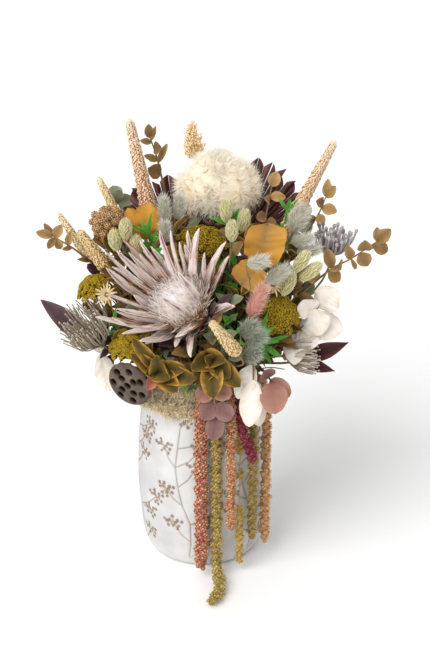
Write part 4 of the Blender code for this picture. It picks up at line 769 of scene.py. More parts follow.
# The button cluster: dozens of round dried flower heads packed on one branching stem. Each button
# is a small core crowded with blunt florets.
centre = np.array([-0.1076, -0.0090, 0.4270])
draw = np.random.default_rng(31)
ways = ball_points(52, 0.4)
hubs = centre + ways * draw.uniform(0.0165, 0.0205, 52)[:, None]
sizes = draw.uniform(0.0032, 0.0045, 52)
pips = ball_points(38)
spots = (hubs[:, None] + pips[None] * sizes[:, None, None]).reshape(-1, 3)
aims = np.broadcast_to(pips[None], (52, 38, 3)).reshape(-1, 3)
grain_size = np.repeat(sizes * 0.245, 38) * draw.uniform(0.8, 1.2, 52 * 38)
BUTTON = skin("brown_buttons", [(0.05, (104, 66, 46)), (0.30, (156, 112, 76)), (0.58, (196, 152, 104)),
                                (1.0, (228, 194, 142))], weigh=(0.40, 0.30, 0.30), cloud=(70.0, 0.25),
              bump=(1500.0, 0.3))
# Painted light: buttons that face up, left and towards the front are coloured lighter, and those turned away darker, as
# if lit from that side.
lit = np.clip((ways @ unit(np.array([-0.2, -0.6, 0.8]))) * 0.5 + 0.5, 0, 1)
piece("button_cluster", [
    stalk("bead_cluster", (-0.1040, -0.0080, 0.4165), (-0.40, -0.15, 1.0), 0.0014, more=[centre]) + (1,),
    strew(bead(), hubs, frames_on(ways), sizes * 0.95, 0.1, 0.0, 3) + (0,),
    strew(husk(), spots, frames_on(aims), np.stack([grain_size, grain_size, grain_size * 1.25], 1),
          np.repeat(lit, 38), None, 4) + (0,),
    hairs(np.repeat(centre[None], 52, 0), ways, 0.019, 0.0008) + (1,),
    strew(bead(), centre[None], frames_on(ways[:1]), np.array([0.015]), 0.0, 0.0) + (0,),
], [BUTTON, TWIG], "bead_cluster")

# Bunches of grass heads on one forked stem: canary grass, oval heads of keeled scales, and hare's
# tails, soft oval heads of fine hairs.
BUNCHES = {
    "phalaris_left": ((-0.0760, -0.0360, 0.3950), (-0.25, -0.40, 1.0), [
        ((-0.0870, -0.0450, 0.4230), (-0.0860, -0.0470, 0.4500), 0.018),
        ((-0.0965, -0.0470, 0.4110), (-0.1000, -0.0490, 0.4370), 0.018),
        ((-0.0745, -0.0450, 0.4040), (-0.0750, -0.0470, 0.4300), 0.018)]),
    "phalaris_centre": ((0.0330, -0.0430, 0.4150), (0.05, -0.10, 1.0), [
        ((0.0268, -0.0440, 0.4450), (0.0268, -0.0460, 0.4720), 0.017),
        ((0.0334, -0.0620, 0.4290), (0.0334, -0.0660, 0.4550), 0.017),
        ((0.0450, -0.0440, 0.4340), (0.0490, -0.0460, 0.4610), 0.017)]),
    "phalaris_right": ((0.0900, -0.0440, 0.3560), (0.35, -0.15, 1.0), [
        ((0.1038, -0.0600, 0.3905), (0.1201, -0.0620, 0.4174), 0.017),
        ((0.1108, -0.0600, 0.3806), (0.1352, -0.0620, 0.4028), 0.017),
        ((0.0914, -0.0700, 0.3665), (0.1033, -0.0720, 0.3948), 0.017)]),
    "tails_left": ((-0.0360, -0.0260, 0.4180), (-0.02, -0.10, 1.0), [
        ((-0.0415, -0.0290, 0.4400), (-0.0440, -0.0310, 0.4720), 0.0125),
        ((-0.0270, -0.0240, 0.4400), (-0.0250, -0.0260, 0.4720), 0.0125),
        ((-0.0419, -0.0430, 0.4200), (-0.0419, -0.0470, 0.4480), 0.0125)]),
    "tails_right": ((0.0900, -0.0260, 0.4000), (0.40, -0.10, 1.0), [
        ((0.1021, -0.0300, 0.4271), (0.1171, -0.0300, 0.4593), 0.021),
        ((0.1008, -0.0400, 0.4177), (0.1264, -0.0420, 0.4263), 0.0125),
        ((0.1078, -0.0400, 0.4061), (0.1349, -0.0440, 0.4123), 0.0125)]),
    "tails_middle": ((0.0560, -0.0700, 0.3560), (0.10, -0.40, 0.9), [
        ((0.0496, -0.1030, 0.4181), (0.0735, -0.1050, 0.4240), 0.014),
        ((0.0715, -0.0850, 0.3891), (0.0967, -0.0870, 0.4080), 0.015),
        ((0.0533, -0.1120, 0.3586), (0.0704, -0.1160, 0.4010), 0.0165)]),
    "tails_front": ((0.0420, -0.0950, 0.3050), (0.10, -0.80, 0.8), [
        ((0.0440, -0.1180, 0.3400), (0.0580, -0.1310, 0.3570), 0.019),
        ((0.0500, -0.1180, 0.3300), (0.0680, -0.1300, 0.3450), 0.019),
        ((0.0470, -0.1140, 0.3100), (0.0610, -0.1290, 0.3210), 0.018)]),
}
CANARY = skin("canary_grass", [(0.05, (146, 138, 84)), (0.32, (200, 192, 134)), (0.60, (224, 218, 168)),
                               (1.0, (242, 238, 206))], weigh=(0.2, 0.45, 0.28), cloud=(120.0, 0.25), bump=(1500.0, 0.2))
SAGE = skin("hares_tail", [(0.04, (146, 142, 122)), (0.30, (186, 184, 164)), (0.60, (212, 210, 194)),
                           (1.0, (240, 238, 228))], weigh=(0.15, 0.60, 0.25), cloud=(90.0, 0.25), rough=0.95)
# The same hare's tail colours made darker throughout, worn only by the low front bunch.
DARKER_SAGE = skin("darker_hares_tail", [(0.04, (104, 106, 88)), (0.30, (140, 144, 124)), (0.60, (172, 176, 158)),
                              (1.0, (208, 210, 196))], weigh=(0.15, 0.60, 0.25), cloud=(90.0, 0.25), rough=0.95)
ROSE_TAIL = skin("pink_hares_tail", [(0.05, (188, 120, 108)), (0.45, (220, 164, 150)), (1.0, (242, 208, 194))],
                 weigh=(0.15, 0.5, 0.25), cloud=(90.0, 0.3), rough=0.95)
GREEN_STEM = skin("green_stem", [(0.1, (84, 88, 48)), (0.9, (150, 148, 92))], cloud=(120.0, 0.9))
for number, (name, (fork, way, tufts)) in enumerate(BUNCHES.items()):
    draw = np.random.default_rng(400 + number)
    fork, way = np.array(fork), unit(way)
    parts = [stalk(name, fork - way * 0.002, way, 0.0014) + (1,)]
    for j, (low, top, width) in enumerate(tufts):
        low, top = np.array(low), np.array(top)
        long = np.linalg.norm(top - low)
        axes = axes_to(top - low)
        line = through([fork - way * 0.003, (fork + low) * 0.5 + way * 0.004, low - axes[2] * 0.001, low + axes[2] * long * 0.4], 16)
        parts.append(tube(line, np.linspace(0.0009, 0.0007, 17), 6) + (1,))
        count = 190 if "phalaris" in name else int(380 + 15000 * width)
        share = (np.arange(count) + 0.5) / count
        turn = np.arange(count) * 2.39996 + draw.uniform(-0.2, 0.2, count)
        out = axes[0] * np.cos(turn)[:, None] + axes[1] * np.sin(turn)[:, None]
        swell = np.sin(math.pi * np.clip(share * 0.94 + 0.03, 0, 1)) ** 0.55
        if "phalaris" in name:
            hubs = low + axes[2] * (long * (share * 0.90))[:, None] + out * (width * 0.5 * 0.72 * swell)[:, None]
            ways = unit(axes[2] * 1.25 + out * (0.85 - 0.5 * share)[:, None] + draw.normal(size=(count, 3)) * 0.06)
            sizes = np.stack([np.full(count, 0.00105), np.full(count, 0.00070), np.full(count, 0.0046)], 1)
            parts.append(strew(husk(), hubs, frames_on(ways), sizes * draw.uniform(0.85, 1.1, count)[:, None], share) + (0,))
            parts.append(tube(low + axes[2] * (long * np.linspace(0.0, 0.96, 9))[:, None],
                              width * 0.36 * np.sin(math.pi * np.linspace(0.04, 0.98, 9)) ** 0.6, 9, (0.4, 0.0, 0.1)) + (0,))
            continue
        hubs = low + axes[2] * (long * share * 0.86)[:, None] + out * (width * 0.5 * 0.52 * swell)[:, None]
        ways = unit(axes[2] * 1.0 + out * (0.95 - 0.45 * share)[:, None] + draw.normal(size=(count, 3)) * 0.22)
        lengths = draw.uniform(0.60, 0.95, count) * width * 0.5 + 0.0026 + 0.0035 * (draw.random(count) < 0.2)
        parts.append(hairs(hubs, ways, lengths, draw.uniform(0.00022, 0.00034, count), out * 0.0008, 2, j, share) + (3 if (name, j) == ("tails_middle", 2) else 0,))
        parts.append(tube(low + axes[2] * (long * np.linspace(0.0, 0.92, 9))[:, None],
                          width * 0.33 * np.sin(math.pi * np.linspace(0.04, 0.97, 9)) ** 0.6, 9, (0.3, 0.1, 0.2))
                     + (3 if (name, j) == ("tails_middle", 2) else 0,))
    coats = [CANARY if "phalaris" in name else DARKER_SAGE if name == "tails_front" else SAGE, GREEN_STEM, TWIG, ROSE_TAIL]
    piece(name + "_heads", parts, coats, name)

# Yarrow: flat mustard heads. One stem forks into many thin stalks, and each carries a small dome
# of tiny open flowers.
YARROWS = {
    "yarrow_centre": ((-0.0017, -0.0230, 0.3970), (0.0, -0.30, 1.0), 0.060, 44),
    "yarrow_right": ((0.0790, -0.0640, 0.3330), (0.45, -0.60, 0.8), 0.054, 48),
    "yarrow_left": ((-0.1180, -0.0280, 0.3450), (-0.60, -0.15, 1.0), 0.044, 42),
    "yarrow_low": ((-0.0820, -0.0640, 0.2950), (-0.55, -0.65, 1.0), 0.042, 44),
}
MUSTARD = skin("yarrow_flowers", [(0.04, (40, 30, 2)), (0.32, (90, 72, 6)), (0.62, (138, 112, 14)),
                                  (1.0, (186, 156, 40))], weigh=(0.25, 0.35, 0.36), cloud=(80.0, 0.25), bump=(1500.0, 0.3))
for number, (name, (head, way, width, domes)) in enumerate(YARROWS.items()):
    draw = np.random.default_rng(500 + number)
    head = np.array(head)
    axes = axes_to(way)
    scale = 0.6 + width * 8.0
    parts = [stalk(name, head, way, 0.0016, more=[head + axes[2] * 0.008]) + (1,)]
    parts.append(strew(bead(), (head + axes[2] * scale * 0.0175)[None], axes[None],
                       np.array([[0.43 * width, 0.43 * width, 0.0085 * scale]]), 0.0, 0.0) + (0,))
    spots, ways, painted_dome_shade = [], [], []
    for k in range(domes):
        ring = math.sqrt((k + 0.5) / domes)
        turn = k * 2.39996 + draw.uniform(-0.2, 0.2)
        out = axes[0] * math.cos(turn) + axes[1] * math.sin(turn)
        wide = 0.475 * width * ring
        high = scale * (0.0295 - 0.0135 * ring ** 2.2) - draw.uniform(0.0, 0.0014)
        hub = head + out * wide + axes[2] * high
        lean = unit(axes[2] + out * ring * 0.8)
        foot = head + axes[2] * 0.004
        parts.append(tube(np.array([foot, foot * 0.45 + hub * 0.55 - axes[2] * 0.001, hub - lean * 0.002]),
                          [0.0007, 0.0006, 0.0008], 5) + (1,))
        parts.append(strew(bead(), (hub - lean * 0.0016)[None], frames_on(lean[None]),
                           np.array([[0.0050, 0.0050, 0.0026]]) * width / 0.055, 0.0, 0.0) + (0,))
        small = axes_to(lean)
        tiny = 14
        r = np.sqrt((np.arange(tiny) + 0.3) / tiny) * 0.0052 * width / 0.055
        a = np.arange(tiny) * 2.39996 + k
        flat = small[0] * np.cos(a)[:, None] + small[1] * np.sin(a)[:, None]
        spots.append(hub + flat * r[:, None] + lean * (0.0016 - (r / 0.0056) ** 2 * 0.0022 + draw.uniform(-0.0003, 0.0004, tiny))[:, None])
        ways.append(unit(lean + flat * (r / 0.0056)[:, None] * 0.8))
        # Painted shade: florets at the middle of each small dome are coloured lightest and those at its rim darker,
        # where the domes crowd together.
        painted_dome_shade.append(1.0 - (r / 0.0062) ** 2 * 0.8)
    spots, ways, painted_dome_shade = np.concatenate(spots), np.concatenate(ways), np.concatenate(painted_dome_shade)
    sizes = draw.uniform(0.00125, 0.00170, len(spots))
    parts.append(strew(floret(), spots, frames_on(ways, draw.uniform(0, 6, len(spots))), sizes, painted_dome_shade, None, 9) + (0,))
    piece(name + "_flowers", parts, [MUSTARD, GREEN_STEM], name)

# Springing heads: dried silver brunia and coral-like pincushion heads, whose thick woolly styles
# curl up from one small boss and end in blunt knobs.
SPRINGS = {
    "pincushion_right": ((0.1494, -0.0050, 0.3872), (0.05, 0.0, 1.0), 36, 0.035, 1.05, 0.0017, 0.0025,
                         ((108, 98, 98), (150, 142, 142), (188, 180, 178))),
    "pincushion_left": ((-0.1150, -0.0620, 0.3000), (-0.60, -0.35, 0.9), 110, 0.056, 0.86, 0.00085, 0.0011,
                        ((104, 90, 74), (150, 136, 116), (192, 180, 160))),
    "brush_right": ((0.0945, -0.0600, 0.2846), (1.0, -0.10, 0.1), 80, 0.038, 0.85, 0.00085, 0.0010,
                    ((110, 98, 78), (158, 146, 126), (204, 194, 176))),
}
for number, (name, (head, way, count, long, spread, thick, knob, colours)) in enumerate(SPRINGS.items()):
    draw = np.random.default_rng(600 + number)
    head = np.array(head)
    axes = axes_to(way)
    parts = [stalk(name, head, way, 0.0014, more=[head + axes[2] * 0.003]) + (1,),
             strew(bead(), (head + axes[2] * 0.003)[None], axes[None], np.array([0.0062]), 0.2, 0.0) + (0,)]
    tips, ends = [], []
    for k in range(count):
        a = k * 2.39996 + draw.uniform(-0.15, 0.15)
        lean = spread * math.sqrt((k + 0.5) / count)
        out = axes[0] * math.cos(a) + axes[1] * math.sin(a)
        size = long * draw.uniform(0.70, 1.04)
        low = head + axes[2] * 0.003 + out * 0.0040
        middle = low + (axes[2] * math.cos(lean) + out * math.sin(lean)) * size * 0.6
        high = low + (axes[2] * math.cos(lean * 0.7) + out * math.sin(lean * 0.7)) * size
        sway = unit(draw.normal(size=3)) * size * 0.055
        line = through([low, low * 0.5 + middle * 0.5 + sway, middle - sway, high], 9)
        run = np.append(np.repeat(np.linspace(0, 0.8, 10), 5), [0, 1])
        parts.append(tube(line, np.linspace(thick, thick * 0.75, 10), 5,
                          np.stack([run, run, np.full(52, draw.random())], 1)) + (0,))
        tips.append(high)
        ends.append(high - line[-2])
    parts.append(strew(bead(), np.array(tips), frames_on(np.array(ends)),
                       np.array([[knob, knob, knob * 1.35]] * count), 0.9, 1.0) + (0,))
    dark, mid, light = colours
    style = skin(name + "_styles", [(0.06, dark), (0.45, mid), (1.0, light)], weigh=(0.25, 0.40, 0.30),
                 cloud=(120.0, 0.3), rough=0.95, bump=(1200.0, 0.5))
    piece(name + "_head", parts, [style, GREEN_STEM], name)

# Leafy twigs and single leaves: each leaf is a dried plate with a midrib that grows from its twig.
# Rows are how far along the twig it grows, its tip, its width and which of the skins it wears.
LEAVES = {
    "ruscus_left": ((-0.0550, -0.0270, 0.3880), (-0.15, -0.15, 1.0), [(-0.0570, -0.0310, 0.4080), (-0.0600, -0.0330, 0.4240)], [
        (0.3, (-0.0440, -0.0390, 0.4120), 0.012, 0), (0.5, (-0.0730, -0.0310, 0.4140), 0.010, 0),
        (0.7, (-0.0510, -0.0400, 0.4320), 0.012, 0), (1.0, (-0.0690, -0.0360, 0.4440), 0.012, 0)], "green"),
    "ruscus_right": ((0.0880, -0.0060, 0.4050), (0.35, 0.0, 1.0), [(0.0930, -0.0070, 0.4250), (0.0980, -0.0080, 0.4420)], [
        (0.3, (0.0830, -0.0130, 0.4320), 0.011, 0), (0.6, (0.1080, -0.0140, 0.4400), 0.011, 0),
        (1.0, (0.1000, -0.0100, 0.4600), 0.011, 0)], "green"),
    "ruscus_centre": ((0.0338, -0.0250, 0.4200), (0.05, -0.10, 1.0), [(0.0338, -0.0290, 0.4360)], [
        (0.8, (0.0190, -0.0320, 0.4529), 0.012, 0), (1.0, (0.0420, -0.0280, 0.4560), 0.011, 0)], "green"),
    "ruscus_front": ((0.0600, -0.0840, 0.3100), (0.15, -0.60, 0.8), [(0.0650, -0.0960, 0.3230)], [
        (0.9, (0.0560, -0.0980, 0.3500), 0.012, 0), (0.3, (0.0730, -0.1080, 0.3090), 0.014, 0),
        (0.2, (0.0600, -0.1040, 0.2960), 0.012, 0), (0.8, (0.0860, -0.1020, 0.3230), 0.012, 0),
        (0.5, (0.0900, -0.0980, 0.3020), 0.013, 0), (0.9, (0.0720, -0.0980, 0.3440), 0.012, 0)], "green"),
    "gold_leaf": ((-0.0642, -0.0110, 0.4050), (-0.05, -0.05, 1.0), [(-0.0640, -0.0120, 0.4110)], [
        (0.9, (-0.0610, -0.0130, 0.4560), 0.030, 0), (0.4, (-0.0860, -0.0030, 0.4460), 0.018, 0)], "gold"),
    "dark_leaf_left": ((-0.1000, -0.0300, 0.2700), (-1.0, 0.0, 0.35), [(-0.1130, -0.0290, 0.2740)], [
        (0.9, (-0.1909, -0.0050, 0.3314), 0.026, 0), (0.5, (-0.1210, -0.0480, 0.2480), 0.016, 0)], "plum"),
    "dark_leaf_right": ((0.1050, -0.0300, 0.2620), (1.0, 0.0, 0.25), [(0.1130, -0.0300, 0.2640)], [
        (0.6, (0.1715, -0.0300, 0.2876), 0.020, 0), (0.9, (0.1550, -0.0500, 0.2600), 0.015, 0)], "wine"),
    "ochre_leaves": ((0.0640, -0.0500, 0.3880), (0.10, -0.30, 1.0), [(0.0660, -0.0560, 0.4000)], [
        (0.9, (0.0740, -0.0620, 0.4507), 0.046, 0), (0.6, (0.0440, -0.0700, 0.3780), 0.040, 0)], "ochre"),
    "eucalyptus_left": ((-0.1265, -0.0080, 0.3780), (-0.70, -0.1, 0.8),
                        [(-0.1464, -0.0220, 0.4022), (-0.1609, -0.0220, 0.4122), (-0.1710, -0.0220, 0.4190)], [
        (1.0, (-0.1900, -0.0240, 0.4248), 0.011, 0), (0.95, (-0.1811, -0.0180, 0.4330), 0.008, 1),
        (0.9, (-0.1600, -0.0240, 0.4340), 0.012, 0), (0.9, (-0.1770, -0.0260, 0.4050), 0.009, 1),
        (0.85, (-0.1630, -0.0200, 0.4020), 0.010, 0), (0.5, (-0.1490, -0.0300, 0.4290), 0.009, 0),
        (0.4, (-0.1605, -0.0280, 0.4050), 0.006, 1), (0.1, (-0.1430, -0.0340, 0.3950), 0.007, 0)], "brown"),
    "eucalyptus_top": ((-0.0475, 0.0520, 0.4605), (-0.20, 0.05, 1.0), [(-0.0534, 0.0540, 0.4867), (-0.0612, 0.0550, 0.5121)], [
        (1.0, (-0.0625, 0.0540, 0.5282), 0.012, 1), (0.9, (-0.0542, 0.0580, 0.5245), 0.006, 0),
        (0.85, (-0.0727, 0.0520, 0.5085), 0.008, 1), (0.7, (-0.0475, 0.0480, 0.5019), 0.016, 1),
        (0.45, (-0.0683, 0.0500, 0.4912), 0.009, 0), (0.4, (-0.0412, 0.0580, 0.5031), 0.008, 0),
        (0.15, (-0.0640, 0.0460, 0.4770), 0.019, 1)], "brown"),
    "eucalyptus_upper": ((0.0715, 0.0220, 0.4089), (0.20, 0.25, 1.0), [(0.0763, 0.0240, 0.4394), (0.0807, 0.0260, 0.4622)], [
        (1.0, (0.0863, 0.0300, 0.4786), 0.015, 0), (0.7, (0.0969, 0.0200, 0.4502), 0.012, 0),
        (0.6, (0.0710, 0.0080, 0.4540), 0.012, 0), (0.3, (0.0622, 0.0160, 0.4263), 0.014, 1),
        (0.15, (0.0862, 0.0300, 0.4158), 0.012, 0)], "tan"),
    "eucalyptus_side": ((0.1194, 0.0080, 0.4070), (0.50, 0.15, 1.0), [(0.1364, 0.0140, 0.4358), (0.1433, 0.0200, 0.4521)], [
        (1.0, (0.1451, 0.0220, 0.4727), 0.011, 0), (0.95, (0.1536, 0.0160, 0.4662), 0.013, 0),
        (0.7, (0.1311, 0.0100, 0.4497), 0.013, 1), (0.45, (0.1389, 0.0060, 0.4212), 0.012, 0),
        (0.6, (0.1558, 0.0100, 0.4361), 0.014, 0), (0.3, (0.1215, 0.0020, 0.4359), 0.010, 1)], "tan"),
    "eucalyptus_long": ((0.1014, -0.0350, 0.3382), (0.85, -0.10, 0.75),
                        [(0.1425, -0.0420, 0.3828), (0.1707, -0.0400, 0.3993), (0.2005, -0.0400, 0.4214)], [
        (0.05, (0.1304, -0.0500, 0.3475), 0.020, 1), (0.25, (0.1230, -0.0440, 0.3833), 0.016, 0),
        (0.45, (0.1574, -0.0540, 0.3904), 0.020, 1), (0.35, (0.1574, -0.0460, 0.3733), 0.016, 0),
        (0.4, (0.1410, -0.0340, 0.4087), 0.014, 1), (0.65, (0.1763, -0.0340, 0.3831), 0.006, 0),
        (0.65, (0.1639, -0.0460, 0.4177), 0.012, 0), (0.75, (0.1887, -0.0460, 0.3919), 0.018, 1),
        (0.8, (0.1836, -0.0500, 0.4254), 0.018, 0), (0.9, (0.2113, -0.0400, 0.4079), 0.016, 1),
        (1.0, (0.1982, -0.0340, 0.4348), 0.010, 0), (1.0, (0.2128, -0.0460, 0.4372), 0.016, 1)], "brown"),
    "eucalyptus_pink": ((0.0100, -0.0950, 0.2700), (0.10, -1.0, -0.35), [(0.0130, -0.1080, 0.2560), (0.0170, -0.1120, 0.2350)], [
        (0.2, (-0.0060, -0.1150, 0.2560), 0.022, 0), (0.3, (0.0340, -0.1150, 0.2640), 0.022, 0),
        (0.6, (0.0010, -0.1180, 0.2330), 0.022, 1), (0.7, (0.0350, -0.1190, 0.2350), 0.022, 1),
        (1.0, (0.0120, -0.1200, 0.2070), 0.022, 1)], "salmon"),
    "olive_left": ((-0.0480, -0.0850, 0.2750), (-0.30, -1.0, 0.20), [(-0.0500, -0.0980, 0.2860)], [
        (0.2, (-0.0800, -0.1120, 0.3130), 0.016, 0), (0.5, (-0.0500, -0.1230, 0.3170), 0.018, 0),
        (0.8, (-0.0180, -0.1160, 0.2960), 0.018, 0), (1.0, (-0.0280, -0.1230, 0.2700), 0.020, 0),
        (0.4, (-0.0640, -0.1220, 0.2920), 0.020, 0), (0.9, (-0.0360, -0.1260, 0.2880), 0.022, 0),
        (0.2, (-0.0060, -0.1200, 0.2850), 0.020, 0), (0.7, (-0.0780, -0.1060, 0.3300), 0.014, 0),
        (0.9, (-0.0620, -0.1260, 0.2740), 0.013, 1)], "olive"),
    "olive_centre": ((0.0080, -0.0850, 0.2950), (0.10, -1.0, 0.10), [(0.0110, -0.0980, 0.2980)], [
        (0.3, (-0.0060, -0.1160, 0.2760), 0.022, 0), (0.6, (0.0130, -0.1270, 0.2640), 0.022, 0),
        (0.8, (0.0320, -0.1180, 0.2860), 0.020, 0), (1.0, (0.0030, -0.1230, 0.3150), 0.018, 0),
        (0.5, (0.0260, -0.1220, 0.3080), 0.020, 0), (0.2, (0.0430, -0.1180, 0.2740), 0.020, 0),
        (0.4, (-0.0120, -0.1180, 0.2960), 0.020, 0)], "olive"),
    "pale_leaves_front": ((0.0580, -0.0900, 0.2900), (0.15, -1.0, -0.10), [(0.0580, -0.0990, 0.2880), (0.0580, -0.1040, 0.2760)], [
        (0.2, (0.0400, -0.1120, 0.2560), 0.020, 0), (1.0, (0.0530, -0.1220, 0.2250), 0.022, 0),
        (1.0, (0.0650, -0.1020, 0.2150), 0.020, 0)], "paper"),
    "pale_leaves_right": ((0.1050, -0.0480, 0.3050), (0.90, -0.20, 0.50), [(0.1200, -0.0500, 0.3230), (0.1340, -0.0480, 0.3420)], [
        (0.2, (0.1330, -0.0660, 0.3020), 0.026, 0), (0.5, (0.1620, -0.0540, 0.3160), 0.028, 0),
        (0.7, (0.1150, -0.0600, 0.3560), 0.024, 0), (1.0, (0.1540, -0.0640, 0.3700), 0.028, 0),
        (0.1, (0.1050, -0.0860, 0.2860), 0.022, 0), (0.3, (0.1460, -0.0620, 0.3360), 0.026, 0)], "paper"),
    "pink_leaves": ((0.0740, -0.0760, 0.2690), (0.25, -1.0, 0.0), [(0.0800, -0.0980, 0.2690)], [
        (0.4, (0.0700, -0.1140, 0.2930), 0.022, 1), (0.6, (0.1000, -0.0960, 0.2500), 0.022, 0),
        (1.0, (0.0830, -0.1300, 0.2460), 0.032, 0)], "salmon"),
}
LEAF_STOPS = {
    "green": [[(0.02, (150, 176, 100)), (0.14, (50, 104, 30)), (0.6, (76, 146, 46)), (1.0, (128, 182, 84))]] * 2,
    "gold": [[(0.02, (232, 194, 104)), (0.3, (210, 156, 60)), (0.62, (196, 138, 44)), (1.0, (144, 94, 32))]] * 2,
    "plum": [[(0.02, (150, 132, 128)), (0.14, (52, 34, 40)), (0.6, (70, 48, 54)), (1.0, (104, 78, 80))]] * 2,
    "wine": [[(0.02, (118, 72, 70)), (0.14, (50, 20, 26)), (0.6, (74, 32, 36)), (1.0, (112, 62, 60))]] * 2,
    "ochre": [[(0.04, (138, 112, 80)), (0.18, (164, 124, 66)), (0.42, (190, 138, 56)), (1.0, (206, 152, 64))]] * 2,
    "brown": [[(0.02, (186, 160, 112)), (0.18, (124, 98, 56)), (0.6, (152, 120, 72)), (1.0, (188, 156, 104))],
              [(0.02, (160, 132, 92)), (0.18, (106, 80, 48)), (0.6, (134, 104, 64)), (1.0, (172, 140, 94))]],
    "tan": [[(0.02, (200, 172, 122)), (0.18, (142, 110, 62)), (0.6, (168, 132, 82)), (1.0, (200, 166, 116))],
            [(0.02, (166, 136, 94)), (0.18, (106, 78, 48)), (0.6, (134, 102, 66)), (1.0, (172, 138, 96))]],
    "salmon": [[(0.02, (192, 148, 128)), (0.18, (150, 104, 88)), (0.6, (168, 122, 106)), (1.0, (194, 150, 132))],
               [(0.02, (146, 110, 104)), (0.18, (108, 74, 72)), (0.6, (128, 92, 88)), (1.0, (156, 120, 112))]],
    "olive": [[(0.10, (54, 44, 14)), (0.42, (78, 64, 20)), (0.72, (106, 84, 28)), (0.86, (160, 122, 48)), (1.0, (202, 158, 78))],
              [(0.02, (190, 110, 88)), (0.18, (140, 74, 58)), (0.6, (160, 92, 72)), (1.0, (190, 130, 104))]],
    "paper": [[(0.06, (202, 184, 160)), (0.24, (226, 215, 198)), (0.55, (240, 233, 224)), (0.9, (222, 208, 188))]] * 2,
    "grey": [[(0.02, (160, 160, 134)), (0.18, (104, 108, 84)), (0.6, (128, 132, 104)), (1.0, (158, 158, 130))]] * 2,
}
LEAF_FORM = {
    "green": dict(cup=0.25, wave=0.03, rows=8, cols=5), "gold": dict(cup=0.30, wave=0.10, blunt=0.42, bias=1.8, rows=20, cols=11, vein=0.0003),
    "plum": dict(cup=0.35, wave=0.03, rows=20), "wine": dict(cup=0.35, wave=0.04, rows=20, blunt=1.0),
    "ochre": dict(cup=0.20, wave=0.07, blunt=0.13, bias=1.6, rows=26, cols=14, rib=0.0010, vein=0.0004, notch=0.04, ragged=0.02),
    "brown": dict(cup=0.35, wave=0.06, blunt=0.60, rows=12, ragged=0.02), "tan": dict(cup=0.3, wave=0.06, blunt=0.60, ragged=0.02),
    "salmon": dict(cup=0.12, wave=0.05, blunt=0.46, rows=18, cols=10, notch=0.05, arch=0.05, ragged=0.015, vein=0.00025),
    "olive": dict(cup=0.55, wave=0.08, blunt=0.46, bias=1.25, rows=18, cols=13, arch=0.20, vein=0.0003, ragged=0.02, fold=2.3, rib=0.0006),
    "paper": dict(cup=0.05, wave=0.06, blunt=0.60, rows=24, cols=12, thick=0.0003, arch=0.05, vein=0.0003, ragged=0.018, rib=0.0007),
    "grey": dict(cup=0.25, wave=0.04, blunt=0.60),
}
LEAF_SKINS = {}
for kind, (one, two) in LEAF_STOPS.items():
    shine = dict(rough=0.7, bump=(600.0, 0.5), spec=0.3, weigh=(0.05, 0.36, 0.20), cloud=(70.0, 0.30), streak=(0.28, 12.0, 2.0))
    if kind in ("olive", "ochre"):
        shine.update(weigh=(0.0, 0.62, 0.1) if kind == "olive" else (-0.30, 0.46, 0.20))
    first = skin("leaf_" + kind, one, **shine)
    LEAF_SKINS[kind] = [first, first if two is one else skin("leaf_" + kind + "_dark", two, **shine)]


def leafy(node, head, way, knots, leaves, kind):
    """A twig that carries on from its stem and bears leaves, each run to its own tip."""
    line = through([head] + list(knots), 2 * len(knots))
    fine = through([head] + list(knots), 8 * len(knots))
    parts = [stalk(node, head, way, 0.00135, more=fine[1:]) + (2,)]
    for number, (share, tip, width, coat) in enumerate(leaves):
        spot = (line[0] + line[1]) / 2.0
        if share > 0.0:
            where = min(0.97, share) * (len(line) - 1)
            i = int(where)
            spot = line[i] + (line[i + 1] - line[i]) * (where - i)
        seed = sum(map(ord, node)) * 10 + number
        form = dict(LEAF_FORM[kind], twist=0.5 * math.sin(seed))
        width *= {"paper": 1.22, "olive": 1.20}.get(kind, 1.0)
        if kind == "green":
            reach = np.array(tip) - spot
            over = unit(np.cross(reach, (0.0, -1.0, 0.3))) * np.linalg.norm(reach)
            for turn in (-0.6, 0.6):
                other = spot + reach * (0.9 - 0.2 * math.sin(seed)) + over * (turn + 0.2 * math.cos(seed))
                parts.append(blade(spot + reach * 0.1, other, width * 0.38, (0.0, -1.0, 0.5), seed * 3 + int(turn > 0), **form) + (coat,))
            width *= 0.55
        parts.append(blade(spot, tip, width, (0.0, -1.0, 0.5), seed, **form) + (coat,))
    piece(node + "_leafy", parts, LEAF_SKINS[kind] + [TWIG], node)


for name, (head, way, knots, leaves, kind) in LEAVES.items():
    leafy(name, head, way, knots, leaves, kind)
for name, knots, seed in (("eucalyptus_back_left", [(-0.0900, 0.0900, 0.3800), (-0.1050, 0.1100, 0.4150)], 15),
                          ("eucalyptus_back_right", [(0.1000, 0.0900, 0.3650), (0.1200, 0.1080, 0.3950)], 16)):
    head = (-0.0700, 0.0700, 0.3400) if seed == 15 else (0.0750, 0.0700, 0.3300)
    way = (-0.60, 0.60, 0.9) if seed == 15 else (0.65, 0.60, 0.8)
    draw = random.Random(seed)
    line = through([head] + knots, 4)
    leaves = []
    for k in range(7):
        share = (k + 0.6) / 7.2
        i = int(share * 4)
        spot = line[i] + (line[i + 1] - line[i]) * (share * 4 - i)
        along = unit(line[i + 1] - line[i])
        axes = axes_to(along)
        turn = k * 2.4 + draw.uniform(-0.3, 0.3)
        out = axes[0] * math.cos(turn) + axes[1] * math.sin(turn)
        size = 0.034 * draw.uniform(0.85, 1.1) * (1.0 - 0.3 * share)
        leaves.append((share, spot + unit(along * 0.7 + out) * size, 0.025 * draw.uniform(0.9, 1.1), 0))
    leaves.append((1.0, line[-1] + unit(line[-1] - line[-2]) * 0.017, 0.020, 0))
    leafy(name, head, way, knots, leaves, "grey")

